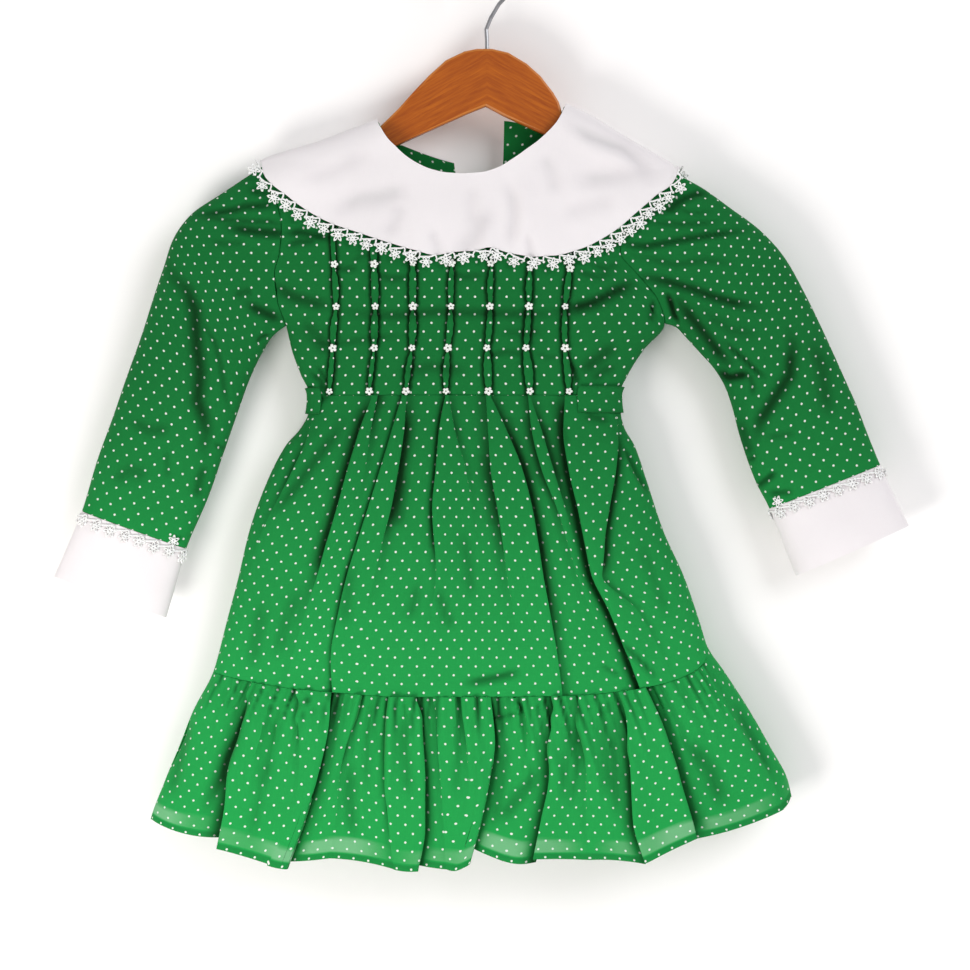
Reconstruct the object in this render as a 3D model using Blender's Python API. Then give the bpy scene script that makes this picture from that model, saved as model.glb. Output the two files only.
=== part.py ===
# Child's long-sleeved dress with a tucked and knotted bodice, a white cape collar with flower lace,
# white cuffs, a gathered skirt and a hem ruffle, hanging flat on a wooden hanger.
# Metres, Z up, the front faces -Y. The origin is the inner top of the hanger's hook.

import math

import bmesh
import bpy
from mathutils import Vector

# Cloth walls and the gap left at each seam
CLOTH = 0.0012
CUFF_CLOTH = 0.0013
LACE = 0.0010
SEAM = 0.0003
ARMHOLE_SEAM = 0.0005
HALF_SEAM = 0.00015

# Body of the dress
BODY_POWER = 3.2
ARMHOLE_ROWS = 10
SIDE_ROWS = 3
RIDGE_ROUND = 0.022
WAIST = -0.3540
TUCK_HALF = 0.0022
TUCK_FOOT = 0.0034
TUCK_HEIGHT = 0.0013
ARMHOLE_FRONT = 0.0120
ARMHOLE_BACK = 0.0095
SLEEVE_POWER = 2.6

# Small pieces
BUTTON_RADIUS = 0.0048
BUTTON_THICK = 0.0022
SCALLOP_PITCH = 0.0142
SCALLOP_DEPTH = 0.0022
COLLAR_LACE_WIDTH = 0.0100
CUFF_LACE_WIDTH = 0.0115

# Hanger and hook
WOOD_HALF = 0.0046
WOOD_BEVEL = 0.0018
WIRE_RADIUS = 0.0016
HOOK_RADIUS = 0.0216
HOOK_CENTRE_Z = -0.0200
HOOK_BORE_RADIUS = 0.0020
HOOK_BORE_END = -0.0995

# height, left edge, right edge, front depth, back depth
SIDES = (
    (-0.1200, -0.1780, 0.1480, 0.0140, 0.0125),
    (-0.1770, -0.1780, 0.1480, 0.0160, 0.0130),
    (-0.2020, -0.1670, 0.1240, 0.0175, 0.0130),
    (-0.2200, -0.1635, 0.1100, 0.0185, 0.0130),
    (-0.2400, -0.1650, 0.1060, 0.0195, 0.0135),
    (-0.2570, -0.1690, 0.1190, 0.0205, 0.0135),
    (-0.2780, -0.1670, 0.1360, 0.0210, 0.0140),
    (-0.2970, -0.1610, 0.1420, 0.0210, 0.0140),
    (-0.3180, -0.1560, 0.1250, 0.0205, 0.0135),
    (-0.3370, -0.1490, 0.1130, 0.0195, 0.0130),
    (-0.3540, -0.1420, 0.1060, 0.0190, 0.0125),
    (-0.3680, -0.1430, 0.1070, 0.0205, 0.0130),
    (-0.3800, -0.1490, 0.1100, 0.0220, 0.0135),
    (-0.3940, -0.1610, 0.1180, 0.0240, 0.0140),
    (-0.4230, -0.1760, 0.1280, 0.0265, 0.0150),
    (-0.4620, -0.1900, 0.1410, 0.0285, 0.0160),
    (-0.5000, -0.1990, 0.1580, 0.0300, 0.0170),
    (-0.5380, -0.2090, 0.1710, 0.0310, 0.0175),
    (-0.5540, -0.2130, 0.1760, 0.0315, 0.0180),
    (-0.5750, -0.2190, 0.1900, 0.0320, 0.0185),
    (-0.6060, -0.2350, 0.2100, 0.0345, 0.0200),
    (-0.6340, -0.2460, 0.2260, 0.0365, 0.0210),
    (-0.6630, -0.2580, 0.2410, 0.0380, 0.0220),
    (-0.6980, -0.2700, 0.2470, 0.0395, 0.0225),
    (-0.7350, -0.2730, 0.2490, 0.0400, 0.0230),
)

# x, height of the shoulder ridge, carried on over the neck
RIDGE = (
    (-0.2050, -0.1800),
    (-0.1780, -0.1700),
    (-0.1300, -0.1515),
    (-0.0870, -0.1350),
    (-0.0500, -0.1215),
    (-0.0130, -0.1130),
    (0.0300, -0.1130),
    (0.0620, -0.1225),
    (0.0740, -0.1275),
    (0.1080, -0.1480),
    (0.1360, -0.1670),
    (0.1480, -0.1745),
    (0.1600, -0.1805),
    (0.1800, -0.1930),
)

# x, height of the front neck edge
FRONT_NECK = (
    (-0.0870, -0.1350),
    (-0.0830, -0.1440),
    (-0.0740, -0.1560),
    (-0.0600, -0.1670),
    (-0.0430, -0.1750),
    (-0.0260, -0.1780),
    (-0.0040, -0.1770),
    (0.0110, -0.1720),
    (0.0260, -0.1620),
    (0.0390, -0.1530),
    (0.0490, -0.1440),
    (0.0580, -0.1330),
    (0.0620, -0.1225),
)

# x, height of the back neck edge of each half
BACK_NECK_LEFT = (
    (-0.0870, -0.1350),
    (-0.0850, -0.1440),
    (-0.0660, -0.1535),
    (-0.0300, -0.1660),
    (-0.0100, -0.1700),
)
BACK_NECK_RIGHT = (
    (0.0000, -0.1325),
    (0.0140, -0.1330),
    (0.0500, -0.1390),
    (0.0600, -0.1320),
    (0.0620, -0.1225),
)

# height, x of the opening's edge on each half
BACK_OPENING = (
    (-0.1200, -0.0270, 0.0140),
    (-0.1650, -0.0265, 0.0130),
    (-0.1950, -0.0200, 0.0085),
    (-0.2300, -0.0120, -0.0020),
    (-0.2600, -0.0088, -0.0076),
    (-0.3540, -0.0086, -0.0078),
)

# height, x of each of the seven box tucks
TUCKS = (
    (-0.1800, -0.1175, -0.0870, -0.0570, -0.0275, 0.0035, 0.0340, 0.0630),
    (-0.2300, -0.1190, -0.0880, -0.0580, -0.0280, 0.0030, 0.0340, 0.0630),
    (-0.2840, -0.1210, -0.0900, -0.0590, -0.0290, 0.0020, 0.0340, 0.0620),
    (-0.3180, -0.1230, -0.0900, -0.0600, -0.0310, 0.0000, 0.0310, 0.0620),
    (-0.3540, -0.1260, -0.0940, -0.0650, -0.0320, 0.0010, 0.0340, 0.0660),
)

# position across the skirt, height of the ruffle seam in front and behind
RUFFLE_SEAM = (
    (-1.00, -0.5750, -0.5750),
    (-0.86, -0.5808, -0.5770),
    (-0.68, -0.5863, -0.5780),
    (-0.50, -0.5896, -0.5780),
    (-0.25, -0.5929, -0.5770),
    (0.00, -0.5929, -0.5750),
    (0.37, -0.5920, -0.5720),
    (0.54, -0.5891, -0.5700),
    (0.71, -0.5839, -0.5670),
    (0.86, -0.5753, -0.5630),
    (0.96, -0.5644, -0.5580),
    (1.00, -0.5550, -0.5550),
)

# position across the ruffle, height of its front hem
FRONT_HEM = (
    (-1.00, -0.6921),
    (-0.92, -0.6999),
    (-0.86, -0.7029),
    (-0.79, -0.7118),
    (-0.67, -0.7236),
    (-0.60, -0.7270),
    (-0.54, -0.7221),
    (-0.42, -0.7201),
    (-0.24, -0.7275),
    (-0.06, -0.7256),
    (0.00, -0.7132),
    (0.14, -0.7236),
    (0.26, -0.7206),
    (0.45, -0.7221),
    (0.52, -0.7246),
    (0.63, -0.7128),
    (0.76, -0.6990),
    (0.88, -0.6940),
    (0.96, -0.6871),
    (1.00, -0.6743),
)

# position across the ruffle, height of its back hem
BACK_HEM = (
    (-1.00, -0.6930),
    (-0.80, -0.7000),
    (-0.60, -0.7070),
    (-0.10, -0.7080),
    (0.30, -0.7020),
    (0.60, -0.7000),
    (0.85, -0.6880),
    (1.00, -0.6750),
)

# x at the top, height there, x halfway, height there, x at the foot, height there, push out, half width
SKIRT_FOLDS = (
    (-0.136, -0.366, -0.164, -0.440, -0.186, -0.560, -0.0030, 0.0080),
    (-0.096, -0.356, -0.124, -0.430, -0.150, -0.520, -0.0050, 0.0085),
    (-0.080, -0.356, -0.106, -0.440, -0.138, -0.560, 0.0035, 0.0130),
    (-0.068, -0.356, -0.100, -0.455, -0.124, -0.590, -0.0065, 0.0090),
    (-0.050, -0.356, -0.068, -0.440, -0.090, -0.590, 0.0040, 0.0160),
    (-0.034, -0.356, -0.041, -0.450, -0.048, -0.560, -0.0045, 0.0080),
    (-0.030, -0.356, -0.020, -0.390, -0.012, -0.450, -0.0025, 0.0060),
    (0.000, -0.356, 0.010, -0.455, 0.020, -0.560, -0.0035, 0.0090),
    (0.020, -0.356, 0.026, -0.450, 0.034, -0.590, 0.0030, 0.0140),
    (0.008, -0.366, 0.038, -0.445, 0.058, -0.592, -0.0055, 0.0085),
    (0.050, -0.356, 0.058, -0.450, 0.085, -0.590, 0.0040, 0.0140),
    (0.036, -0.356, 0.077, -0.455, 0.120, -0.590, -0.0085, 0.0085),
    (0.086, -0.360, 0.088, -0.430, 0.092, -0.500, 0.0045, 0.0120),
    (0.110, -0.362, 0.105, -0.425, 0.094, -0.500, -0.0050, 0.0060),
    (0.118, -0.400, 0.128, -0.460, 0.150, -0.550, 0.0030, 0.0120),
)

# x at the seam, x halfway, x at the hem, push out, half width
RUFFLE_FOLDS = (
    (-0.193, -0.206, -0.226, -0.0060, 0.0100),
    (-0.165, -0.178, -0.192, 0.0050, 0.0140),
    (-0.125, -0.142, -0.160, -0.0090, 0.0095),
    (-0.100, -0.110, -0.120, 0.0060, 0.0150),
    (-0.078, -0.080, -0.084, -0.0040, 0.0090),
    (-0.055, -0.053, -0.048, -0.0060, 0.0100),
    (-0.025, -0.028, -0.032, 0.0070, 0.0140),
    (0.006, 0.002, -0.010, -0.0105, 0.0085),
    (0.030, 0.024, 0.015, 0.0050, 0.0120),
    (0.053, 0.048, 0.037, -0.0070, 0.0090),
    (0.080, 0.080, 0.083, 0.0050, 0.0150),
    (0.111, 0.115, 0.123, -0.0045, 0.0085),
    (0.125, 0.150, 0.166, -0.0090, 0.0095),
    (0.150, 0.176, 0.192, 0.0060, 0.0130),
    (0.170, 0.202, 0.222, -0.0060, 0.0095),
)

# outer x, outer height, inner x, inner height, front depth, back depth
SLEEVE_LEFT = (
    (-0.1780, -0.1700, -0.1610, -0.2985, 0.0120, 0.0095),
    (-0.2110, -0.1920, -0.1680, -0.3040, 0.0150, 0.0110),
    (-0.2370, -0.2100, -0.1735, -0.3100, 0.0170, 0.0120),
    (-0.2510, -0.2300, -0.1780, -0.3180, 0.0175, 0.0125),
    (-0.2580, -0.2510, -0.1825, -0.3260, 0.0175, 0.0125),
    (-0.2660, -0.2750, -0.1860, -0.3335, 0.0175, 0.0125),
    (-0.2755, -0.3050, -0.1905, -0.3440, 0.0170, 0.0125),
    (-0.2880, -0.3400, -0.1990, -0.3680, 0.0165, 0.0120),
    (-0.2990, -0.3720, -0.2105, -0.4010, 0.0160, 0.0120),
    (-0.3110, -0.4050, -0.2215, -0.4330, 0.0155, 0.0115),
    (-0.3235, -0.4465, -0.2400, -0.4765, 0.0150, 0.0115),
    (-0.3345, -0.4730, -0.2480, -0.5040, 0.0150, 0.0115),
    (-0.3455, -0.4985, -0.2560, -0.5315, 0.0150, 0.0115),
)
SLEEVE_RIGHT = (
    (0.1480, -0.1755, 0.1420, -0.2965, 0.0120, 0.0095),
    (0.1700, -0.1870, 0.1500, -0.2990, 0.0145, 0.0110),
    (0.1940, -0.2040, 0.1590, -0.3080, 0.0165, 0.0120),
    (0.2180, -0.2220, 0.1700, -0.3200, 0.0175, 0.0125),
    (0.2370, -0.2430, 0.1800, -0.3310, 0.0175, 0.0125),
    (0.2540, -0.2730, 0.1890, -0.3450, 0.0175, 0.0125),
    (0.2700, -0.3060, 0.1955, -0.3630, 0.0170, 0.0125),
    (0.2840, -0.3370, 0.2010, -0.3840, 0.0165, 0.0120),
    (0.2960, -0.3640, 0.2080, -0.4060, 0.0160, 0.0120),
    (0.3040, -0.3850, 0.2150, -0.4240, 0.0155, 0.0115),
    (0.3140, -0.4095, 0.2255, -0.4445, 0.0150, 0.0115),
    (0.3255, -0.4340, 0.2355, -0.4705, 0.0150, 0.0115),
    (0.3370, -0.4580, 0.2465, -0.4980, 0.0150, 0.0115),
)

# section where it starts, section where it ends, fraction across at each, push out, half width
SLEEVE_FOLDS = (
    (0.2, 3.2, 0.30, 0.42, -0.0030, 0.075),
    (0.4, 4.6, 0.62, 0.66, -0.0035, 0.080),
    (2.8, 8.2, 0.24, 0.50, -0.0030, 0.080),
    (5.0, 10.0, 0.78, 0.62, -0.0035, 0.080),
)

# inner x, inner height, outer x, outer height, side: 1 front, -1 back, 0 on the ridge
COLLAR = (
    (-0.0270, -0.1660, -0.0270, -0.2330, -1),
    (-0.0450, -0.1605, -0.0700, -0.2300, -1),
    (-0.0660, -0.1535, -0.1120, -0.2190, -1),
    (-0.0850, -0.1440, -0.1500, -0.1990, -1),
    (-0.0870, -0.1350, -0.1800, -0.1700, 0),
    (-0.0830, -0.1440, -0.1580, -0.1960, 1),
    (-0.0790, -0.1500, -0.1450, -0.2060, 1),
    (-0.0730, -0.1560, -0.1255, -0.2170, 1),
    (-0.0650, -0.1635, -0.1015, -0.2255, 1),
    (-0.0550, -0.1700, -0.0775, -0.2335, 1),
    (-0.0430, -0.1750, -0.0575, -0.2395, 1),
    (-0.0300, -0.1775, -0.0375, -0.2430, 1),
    (-0.0170, -0.1780, -0.0120, -0.2400, 1),
    (-0.0040, -0.1770, 0.0020, -0.2375, 1),
    (0.0090, -0.1730, 0.0170, -0.2415, 1),
    (0.0200, -0.1665, 0.0345, -0.2445, 1),
    (0.0300, -0.1595, 0.0520, -0.2440, 1),
    (0.0390, -0.1530, 0.0745, -0.2380, 1),
    (0.0490, -0.1440, 0.0965, -0.2265, 1),
    (0.0560, -0.1360, 0.1160, -0.2110, 1),
    (0.0600, -0.1285, 0.1330, -0.1970, 1),
    (0.0620, -0.1225, 0.1520, -0.1795, 0),
    (0.0600, -0.1320, 0.1200, -0.2000, -1),
    (0.0500, -0.1390, 0.0860, -0.2090, -1),
    (0.0320, -0.1365, 0.0500, -0.2080, -1),
    (0.0145, -0.1335, 0.0150, -0.2020, -1),
)

# x and height round the outline of the wood
WOOD = (
    (-0.1520, -0.1690),
    (-0.1460, -0.1650),
    (-0.1180, -0.1545),
    (-0.0890, -0.1425),
    (-0.0710, -0.1250),
    (-0.0590, -0.1120),
    (-0.0460, -0.0980),
    (-0.0330, -0.0862),
    (-0.0180, -0.0790),
    (-0.0080, -0.0770),
    (0.0040, -0.0770),
    (0.0170, -0.0800),
    (0.0320, -0.0890),
    (0.0430, -0.0990),
    (0.0530, -0.1120),
    (0.0575, -0.1195),
    (0.0605, -0.1300),
    (0.0740, -0.1355),
    (0.1000, -0.1500),
    (0.1240, -0.1665),
    (0.1310, -0.1740),
    (0.1315, -0.1810),
    (0.1260, -0.1845),
    (0.0470, -0.1460),
    (0.0140, -0.1310),
    (-0.0010, -0.1230),
    (-0.0160, -0.1290),
    (-0.0740, -0.1550),
    (-0.1480, -0.1870),
    (-0.1540, -0.1840),
    (-0.1555, -0.1760),
)

# colour, roughness
PAINT = {
    "green": ((0.012, 0.22, 0.045, 1.0), 0.85),
    "green_back": ((0.010, 0.19, 0.040, 1.0), 0.85),
    "white": ((0.80, 0.79, 0.80, 1.0), 0.85),
    "lace": ((0.84, 0.83, 0.80, 1.0), 0.90),
    "sash": ((0.010, 0.20, 0.040, 1.0), 0.85),
    "wood": ((0.42, 0.15, 0.035, 1.0), 0.45),
    "steel": ((0.25, 0.25, 0.26, 1.0), 0.35),
    "button": ((0.75, 0.74, 0.70, 1.0), 0.40),
}


def curve(table, at, column=1):
    """Value of a table's column at a place, on a smooth line through its rows."""
    rows = list(table)
    if at <= min(rows[0][0], rows[-1][0]) or at >= max(rows[0][0], rows[-1][0]):
        near = rows[0] if abs(at - rows[0][0]) < abs(at - rows[-1][0]) else rows[-1]
        return near[column]
    if rows[0][0] > rows[-1][0]:
        rows.reverse()
    k = 0
    while rows[k + 1][0] < at:
        k += 1
    x0, x1 = rows[k][0], rows[k + 1][0]
    y0, y1 = rows[k][column], rows[k + 1][column]
    step = (y1 - y0) / (x1 - x0)
    before = step if k == 0 else (y0 - rows[k - 1][column]) / (x0 - rows[k - 1][0])
    after = step if k + 2 == len(rows) else (rows[k + 2][column] - y1) / (rows[k + 2][0] - x1)
    m0 = 0.0 if before * step <= 0 else 2 * before * step / (before + step)
    m1 = 0.0 if after * step <= 0 else 2 * after * step / (after + step)
    t = (at - x0) / (x1 - x0)
    width = x1 - x0
    rise = t * t * (3 - 2 * t)
    return y0 + (y1 - y0) * rise + width * t * (1 - t) * (m0 * (1 - t) - m1 * t)


def straight(table, at, column=1):
    """Value of a table's column at a place, on straight lines between its rows."""
    rows = sorted(table)
    if at <= rows[0][0]:
        return rows[0][column]
    for a, b in zip(rows, rows[1:]):
        if at <= b[0]:
            return a[column] + (b[column] - a[column]) * (at - a[0]) / (b[0] - a[0])
    return rows[-1][column]


def ease(a, b, at):
    """Rises smoothly from 0 at a to 1 at b."""
    t = min(1.0, max(0.0, (at - a) / (b - a)))
    return t * t * (3 - 2 * t)


def bell(at):
    return math.exp(-at * at)


def edges(z):
    return curve(SIDES, z, 1), curve(SIDES, z, 2)


def x_at(w, z):
    left, right = edges(z)
    return (left + right) / 2 + (right - left) / 2 * w


def w_at(x, z):
    left, right = edges(z)
    return (x - (left + right) / 2) / ((right - left) / 2)


def armhole_depth(front, right, z):
    """How far the armhole's edge stands off the middle plane."""
    table = SLEEVE_RIGHT if right else SLEEVE_LEFT
    top, low = table[0][1], table[0][3]
    v = abs((2 * z - top - low) / (top - low))
    full = ARMHOLE_FRONT if front else ARMHOLE_BACK
    return full * math.sqrt(max(0.0, 1 - v**SLEEVE_POWER))


def folded(spans, z):
    """x of a fold's line at a height, and how strong it is there."""
    (xa, za), (xb, zb), (xc, zc) = spans
    if z > zb:
        x = xb + (xa - xb) * (z - zb) / (za - zb)
    else:
        x = xb + (xc - xb) * (z - zb) / (zc - zb)
    grown = ease(za + 0.004, za - 0.045, z)
    gone = 1.0 if zc < -0.58 else 1 - ease(zc + 0.050, zc - 0.010, z)
    return x, grown * gone


def skirt_push(x, z):
    """Outward push of the skirt's front by its folds."""
    total = 0.0
    for row in SKIRT_FOLDS:
        spans = ((row[0], row[1]), (row[2], row[3]), (row[4], row[5]))
        line, strength = folded(spans, z)
        total += row[6] * strength * bell((x - line) / row[7])
    return total


def ruffle_push(x, t, w):
    """Outward push of the front ruffle by its folds and by the small gathers at its seam."""
    total = 0.0
    for top, middle, foot, push, half in RUFFLE_FOLDS:
        line = top + (middle - top) * 2 * t if t < 0.5 else middle + (foot - middle) * (2 * t - 1)
        total += push * ease(-0.15, 0.7, t) * bell((x - line) / half)
    gather = 0.0013 * math.sin(54 * w + 1.7 * math.sin(7 * w)) * (1 - ease(0.15, 0.75, t))
    return total + gather * ease(0.0, 0.08, t + 0.04)


def body(front, w, z, push=0.0):
    """Point on the outside of the dress's body, from its place across and its height."""
    w = max(-1.0, min(1.0, w))
    x = x_at(w, z)
    depth = curve(SIDES, z, 3 if front else 4)
    stand_off = armhole_depth(front, w > 0, z) / depth
    reach = abs(w) ** BODY_POWER * (1 - stand_off * stand_off)
    below = max(0.0, curve(RIDGE, x) - z)
    over = 1 - min(below, RIDGE_ROUND) / RIDGE_ROUND
    full = math.sqrt(max(0.0, 1 - reach))
    y = (depth * full + push * full) * math.sqrt(max(0.0, 1 - over * over))
    return Vector((x, -y - HALF_SEAM if front else y + HALF_SEAM, z))


def normal_of(surface, s, t, ds=1e-4, dt=1e-4, low=0.0, high=1.0):
    """Unit normal of a surface(s, t) by small steps that stay inside its range."""
    s0, s1 = max(low, s - ds), min(high, s + ds)
    t0, t1 = max(0.0, t - dt), min(1.0, t + dt)
    across = surface(s1, t) - surface(s0, t)
    down = surface(s, t1) - surface(s, t0)
    return across.cross(down).normalized()


def paint(obj, key):
    colour, rough = PAINT[key]
    material = bpy.data.materials.new(obj.name)
    material.use_nodes = True
    shader = material.node_tree.nodes["Principled BSDF"]
    shader.inputs["Base Color"].default_value = colour
    shader.inputs["Roughness"].default_value = rough
    shader.inputs["Metallic"].default_value = 1.0 if key == "steel" else 0.0
    obj.data.materials.append(material)


def add_mesh(name, made, key):
    bmesh.ops.recalc_face_normals(made, faces=made.faces)
    mesh = bpy.data.meshes.new(name)
    made.to_mesh(mesh)
    made.free()
    obj = bpy.data.objects.new(name, mesh)
    bpy.context.scene.collection.objects.link(obj)
    paint(obj, key)
    return obj


def wall(name, across, down, outside, inside, key, ring=False):
    """Closed cloth wall from the outer and inner points of a grid: outside(i, j) and inside(i, j)."""
    made = bmesh.new()
    bmesh.ops.create_grid(made, x_segments=across, y_segments=down, size=1.0)
    if ring:
        for v in made.verts:
            turn = math.pi * (v.co.x + 1)
            v.co = (math.cos(turn), math.sin(turn), v.co.y)
        bmesh.ops.remove_doubles(made, verts=made.verts, dist=1e-5)
    else:
        for v in made.verts:
            v.co = (v.co.x, 0.0, v.co.y)
    lifted = bmesh.ops.extrude_face_region(made, geom=made.faces[:])
    inner = {v for v in lifted["geom"] if isinstance(v, bmesh.types.BMVert)}
    for v in made.verts:
        turn = math.atan2(v.co.y, v.co.x) / (2 * math.pi) % 1.0
        i = round(turn * across) % across if ring else round((v.co.x + 1) / 2 * across)
        j = round((1 - v.co.z) / 2 * down)
        v.co = inside(i, j) if v in inner else outside(i, j)
    return add_mesh(name, made, key)


def no_push(w, z):
    return 0.0


def skirt_folds(w, z):
    return skirt_push(x_at(w, z), z)


def front_ruffle_folds(w, z):
    seam, hem = curve(RUFFLE_SEAM, w, 1), curve(FRONT_HEM, w)
    t = min(1.0, max(0.0, (seam - z) / (seam - hem)))
    return ruffle_push(x_at(w, z), t, w)


def back_ruffle_folds(w, z):
    t = min(1.0, max(0.0, (-0.575 - z) / 0.125))
    return 0.0045 * ease(-0.2, 0.8, t) * math.sin(19 * w + 0.6 * t) + 0.0006 * math.sin(48 * w) * (1 - t)


def back_skirt_folds(w, z):
    return 0.0030 * ease(WAIST + 0.004, WAIST - 0.060, z) * math.sin(21 * w)


def body_normal(front, w, z, push):
    """Outward unit normal of the body, level at the open edges that meet another piece."""
    dw, dz = 3e-4, 2e-4
    across = body(front, w + dw, z, push(min(1, w + dw), z))
    across -= body(front, w - dw, z, push(max(-1, w - dw), z))
    down = body(front, w, z - dz, push(w, z - dz)) - body(front, w, z + dz, push(w, z + dz))
    normal = across.cross(down).normalized()
    return -normal if front else normal


def body_wall(name, front, places, down, z_of, push, key, relief=None, level=(True, True)):
    """Panel of the body: places(i, j) is a point's place across at a height, z_of(i, j) its height."""
    points, normals = {}, {}
    for i in range(places.count + 1):
        for j in range(down + 1):
            z = z_of(i, j)
            w = places(i, z)
            n = body_normal(front, w, z, push)
            flat_seam = (j == 0 and level[0]) or (j == down and level[1])
            if abs(w) > 0.9999 and armhole_depth(front, w > 0, z) < 1e-5:
                n.y = 0.0
            if curve(RIDGE, x_at(w, z)) - z < 2e-4:
                n.y = 0.0
            if flat_seam:
                n.z = 0.0
            points[i, j] = body(front, w, z, push(w, z))
            normals[i, j] = n.normalized()

    def outside(i, j):
        lift = relief(i, z_of(i, j)) if relief else 0.0
        return points[i, j] + normals[i, j] * lift

    def inside(i, j):
        return points[i, j] - normals[i, j] * CLOTH

    return wall(name, places.count, down, outside, inside, key)


class Spread:
    """Columns spread across a panel, closer together where it turns round at its sides."""

    def __init__(self, count):
        self.count = count

    def __call__(self, i, z):
        even = -1 + 2 * i / self.count
        closer = 1 - (1 - abs(even)) ** 1.5
        return math.copysign(closer, even) if even else 0.0


class TuckedColumns:
    """Columns of the bodice front: four to each tuck, one between, and more towards the sides."""

    left_parts = (0.0, 0.07, 0.36)
    right_parts = (0.26, 0.56, 0.80, 0.95, 1.0)

    def __init__(self):
        self.rows = [("left", part) for part in self.left_parts]
        for n in range(1, 8):
            for foot in (-TUCK_FOOT, -TUCK_HALF, TUCK_HALF, TUCK_FOOT):
                self.rows.append((n, foot))
            if n < 7:
                self.rows.append((n, None))
        self.rows += [("right", part) for part in self.right_parts]
        self.count = len(self.rows) - 1

    def __call__(self, i, z):
        kind, value = self.rows[i]
        left, right = edges(z)
        if kind == "left":
            near = straight(TUCKS, z, 1) - TUCK_FOOT
            x = left + (near - left) * value
        elif kind == "right":
            near = straight(TUCKS, z, 7) + TUCK_FOOT
            x = near + (right - near) * value
        elif value is None:
            x = (straight(TUCKS, z, kind) + straight(TUCKS, z, kind + 1)) / 2
        else:
            x = straight(TUCKS, z, kind) + value
        return w_at(x, z)

    def relief(self, i, z):
        kind, value = self.rows[i]
        raised = kind not in ("left", "right") and value is not None and abs(value) == TUCK_HALF
        return TUCK_HEIGHT * ease(-0.204, -0.228, z) if raised else 0.0


class BackHalf:
    """Columns of one half of the bodice's back, from its armhole to its edge of the opening."""

    left_parts = (0.0, 0.04, 0.16, 0.34, 0.48, 0.600, 0.622, 0.80, 1.0)
    right_parts = (0.0, 0.04, 0.16, 0.34, 0.50, 0.638, 0.664, 0.82, 1.0)

    def __init__(self, right):
        self.right = right
        self.parts = self.right_parts if right else self.left_parts
        self.count = len(self.parts) - 1

    def __call__(self, i, z):
        side = 1.0 if self.right else -1.0
        inner = w_at(curve(BACK_OPENING, z, 2 if self.right else 1), z)
        return side + (inner - side) * self.parts[i]


def bodice_top(front, right, x):
    """Height of a bodice panel's top edge: the shoulder, then the neck."""
    ridge = curve(RIDGE, x)
    if front and -0.0870 < x < 0.0620:
        return min(ridge, curve(FRONT_NECK, x))
    if not front and not right and x > -0.0870:
        return min(ridge, curve(BACK_NECK_LEFT, x))
    if not front and right and x < 0.0620:
        return min(ridge, curve(BACK_NECK_RIGHT, x))
    return ridge


def bodice_heights(front, right, places):
    """Heights of a bodice panel's rows: the armhole's meet the sleeve's points, the rest are even."""

    def z_of(i, j):
        top = -0.170
        for _ in range(4):
            top = bodice_top(front, right, x_at(places(i, top), top))
        share = []
        for table in (SLEEVE_LEFT, SLEEVE_RIGHT):
            shoulder, armpit = table[0][1], table[0][3]
            share.append((armpit - shoulder) / (WAIST - shoulder))
        across = (places(i, top) + 1) / 2
        armhole = share[0] + (share[1] - share[0]) * across
        if j <= ARMHOLE_ROWS:
            part = armhole * (1 - math.cos(math.pi * j / ARMHOLE_ROWS)) / 2
        else:
            part = armhole + (1 - armhole) * (j - ARMHOLE_ROWS) / SIDE_ROWS
        return top + (WAIST - top) * part

    return z_of


def make_bodice():
    tucked = TuckedColumns()
    down = ARMHOLE_ROWS + SIDE_ROWS
    heights = bodice_heights(True, False, tucked)
    body_wall("bodice_front", True, tucked, down, heights, no_push, "green", tucked.relief, (False, True))
    for right in (False, True):
        half = BackHalf(right)
        heights = bodice_heights(False, right, half)
        name = "bodice_back_right" if right else "bodice_back_left"
        body_wall(name, False, half, down, heights, no_push, "green_back", None, (False, True))


def between(places, top, low, parts):
    """Heights of rows from one edge of a panel to the other, each edge a height for a place across."""

    def z_of(i, j):
        w = places(i, 0.0)
        return top(w) + (low(w) - top(w)) * parts[j]

    return z_of


def waist_edge(w):
    return WAIST - SEAM


def front_seam(w):
    return curve(RUFFLE_SEAM, w, 1)


def back_seam(w):
    return curve(RUFFLE_SEAM, w, 2)


def below_seam(seam):
    """The ruffle's top edge: a little further off where the seam climbs steeply at each side."""
    return lambda w: seam(w) - SEAM * (1 + 2.0 * ease(0.85, 1.0, abs(w)))


def make_skirt():
    skirt_rows = (0.0, 0.058, 0.11, 0.165, 0.26, 0.36, 0.46, 0.56, 0.66, 0.77, 0.88, 1.0)
    back_rows = (0.0, 0.058, 0.11, 0.165, 0.29, 0.45, 0.62, 0.80, 1.0)
    ruffle_rows = (0.0, 0.12, 0.30, 0.52, 0.76, 1.0)
    back_ruffle_rows = (0.0, 0.30, 0.64, 1.0)
    front_hem, back_hem = (lambda w: curve(FRONT_HEM, w)), (lambda w: curve(BACK_HEM, w))
    rows = (
        ("skirt_front", True, 48, skirt_rows, waist_edge, front_seam, skirt_folds),
        ("skirt_back", False, 28, back_rows, waist_edge, back_seam, back_skirt_folds),
        ("ruffle_front", True, 96, ruffle_rows, below_seam(front_seam), front_hem, front_ruffle_folds),
        ("ruffle_back", False, 56, back_ruffle_rows, below_seam(back_seam), back_hem, back_ruffle_folds),
    )
    for name, front, across, parts, top, low, push in rows:
        places = Spread(across)
        heights = between(places, top, low, parts)
        key = "green" if front else "green_back"
        level = (True, not name.startswith("ruffle"))
        body_wall(name, front, places, len(parts) - 1, heights, push, key, None, level)


def numbered(table):
    return [(float(n),) + tuple(row) for n, row in enumerate(table)]


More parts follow.
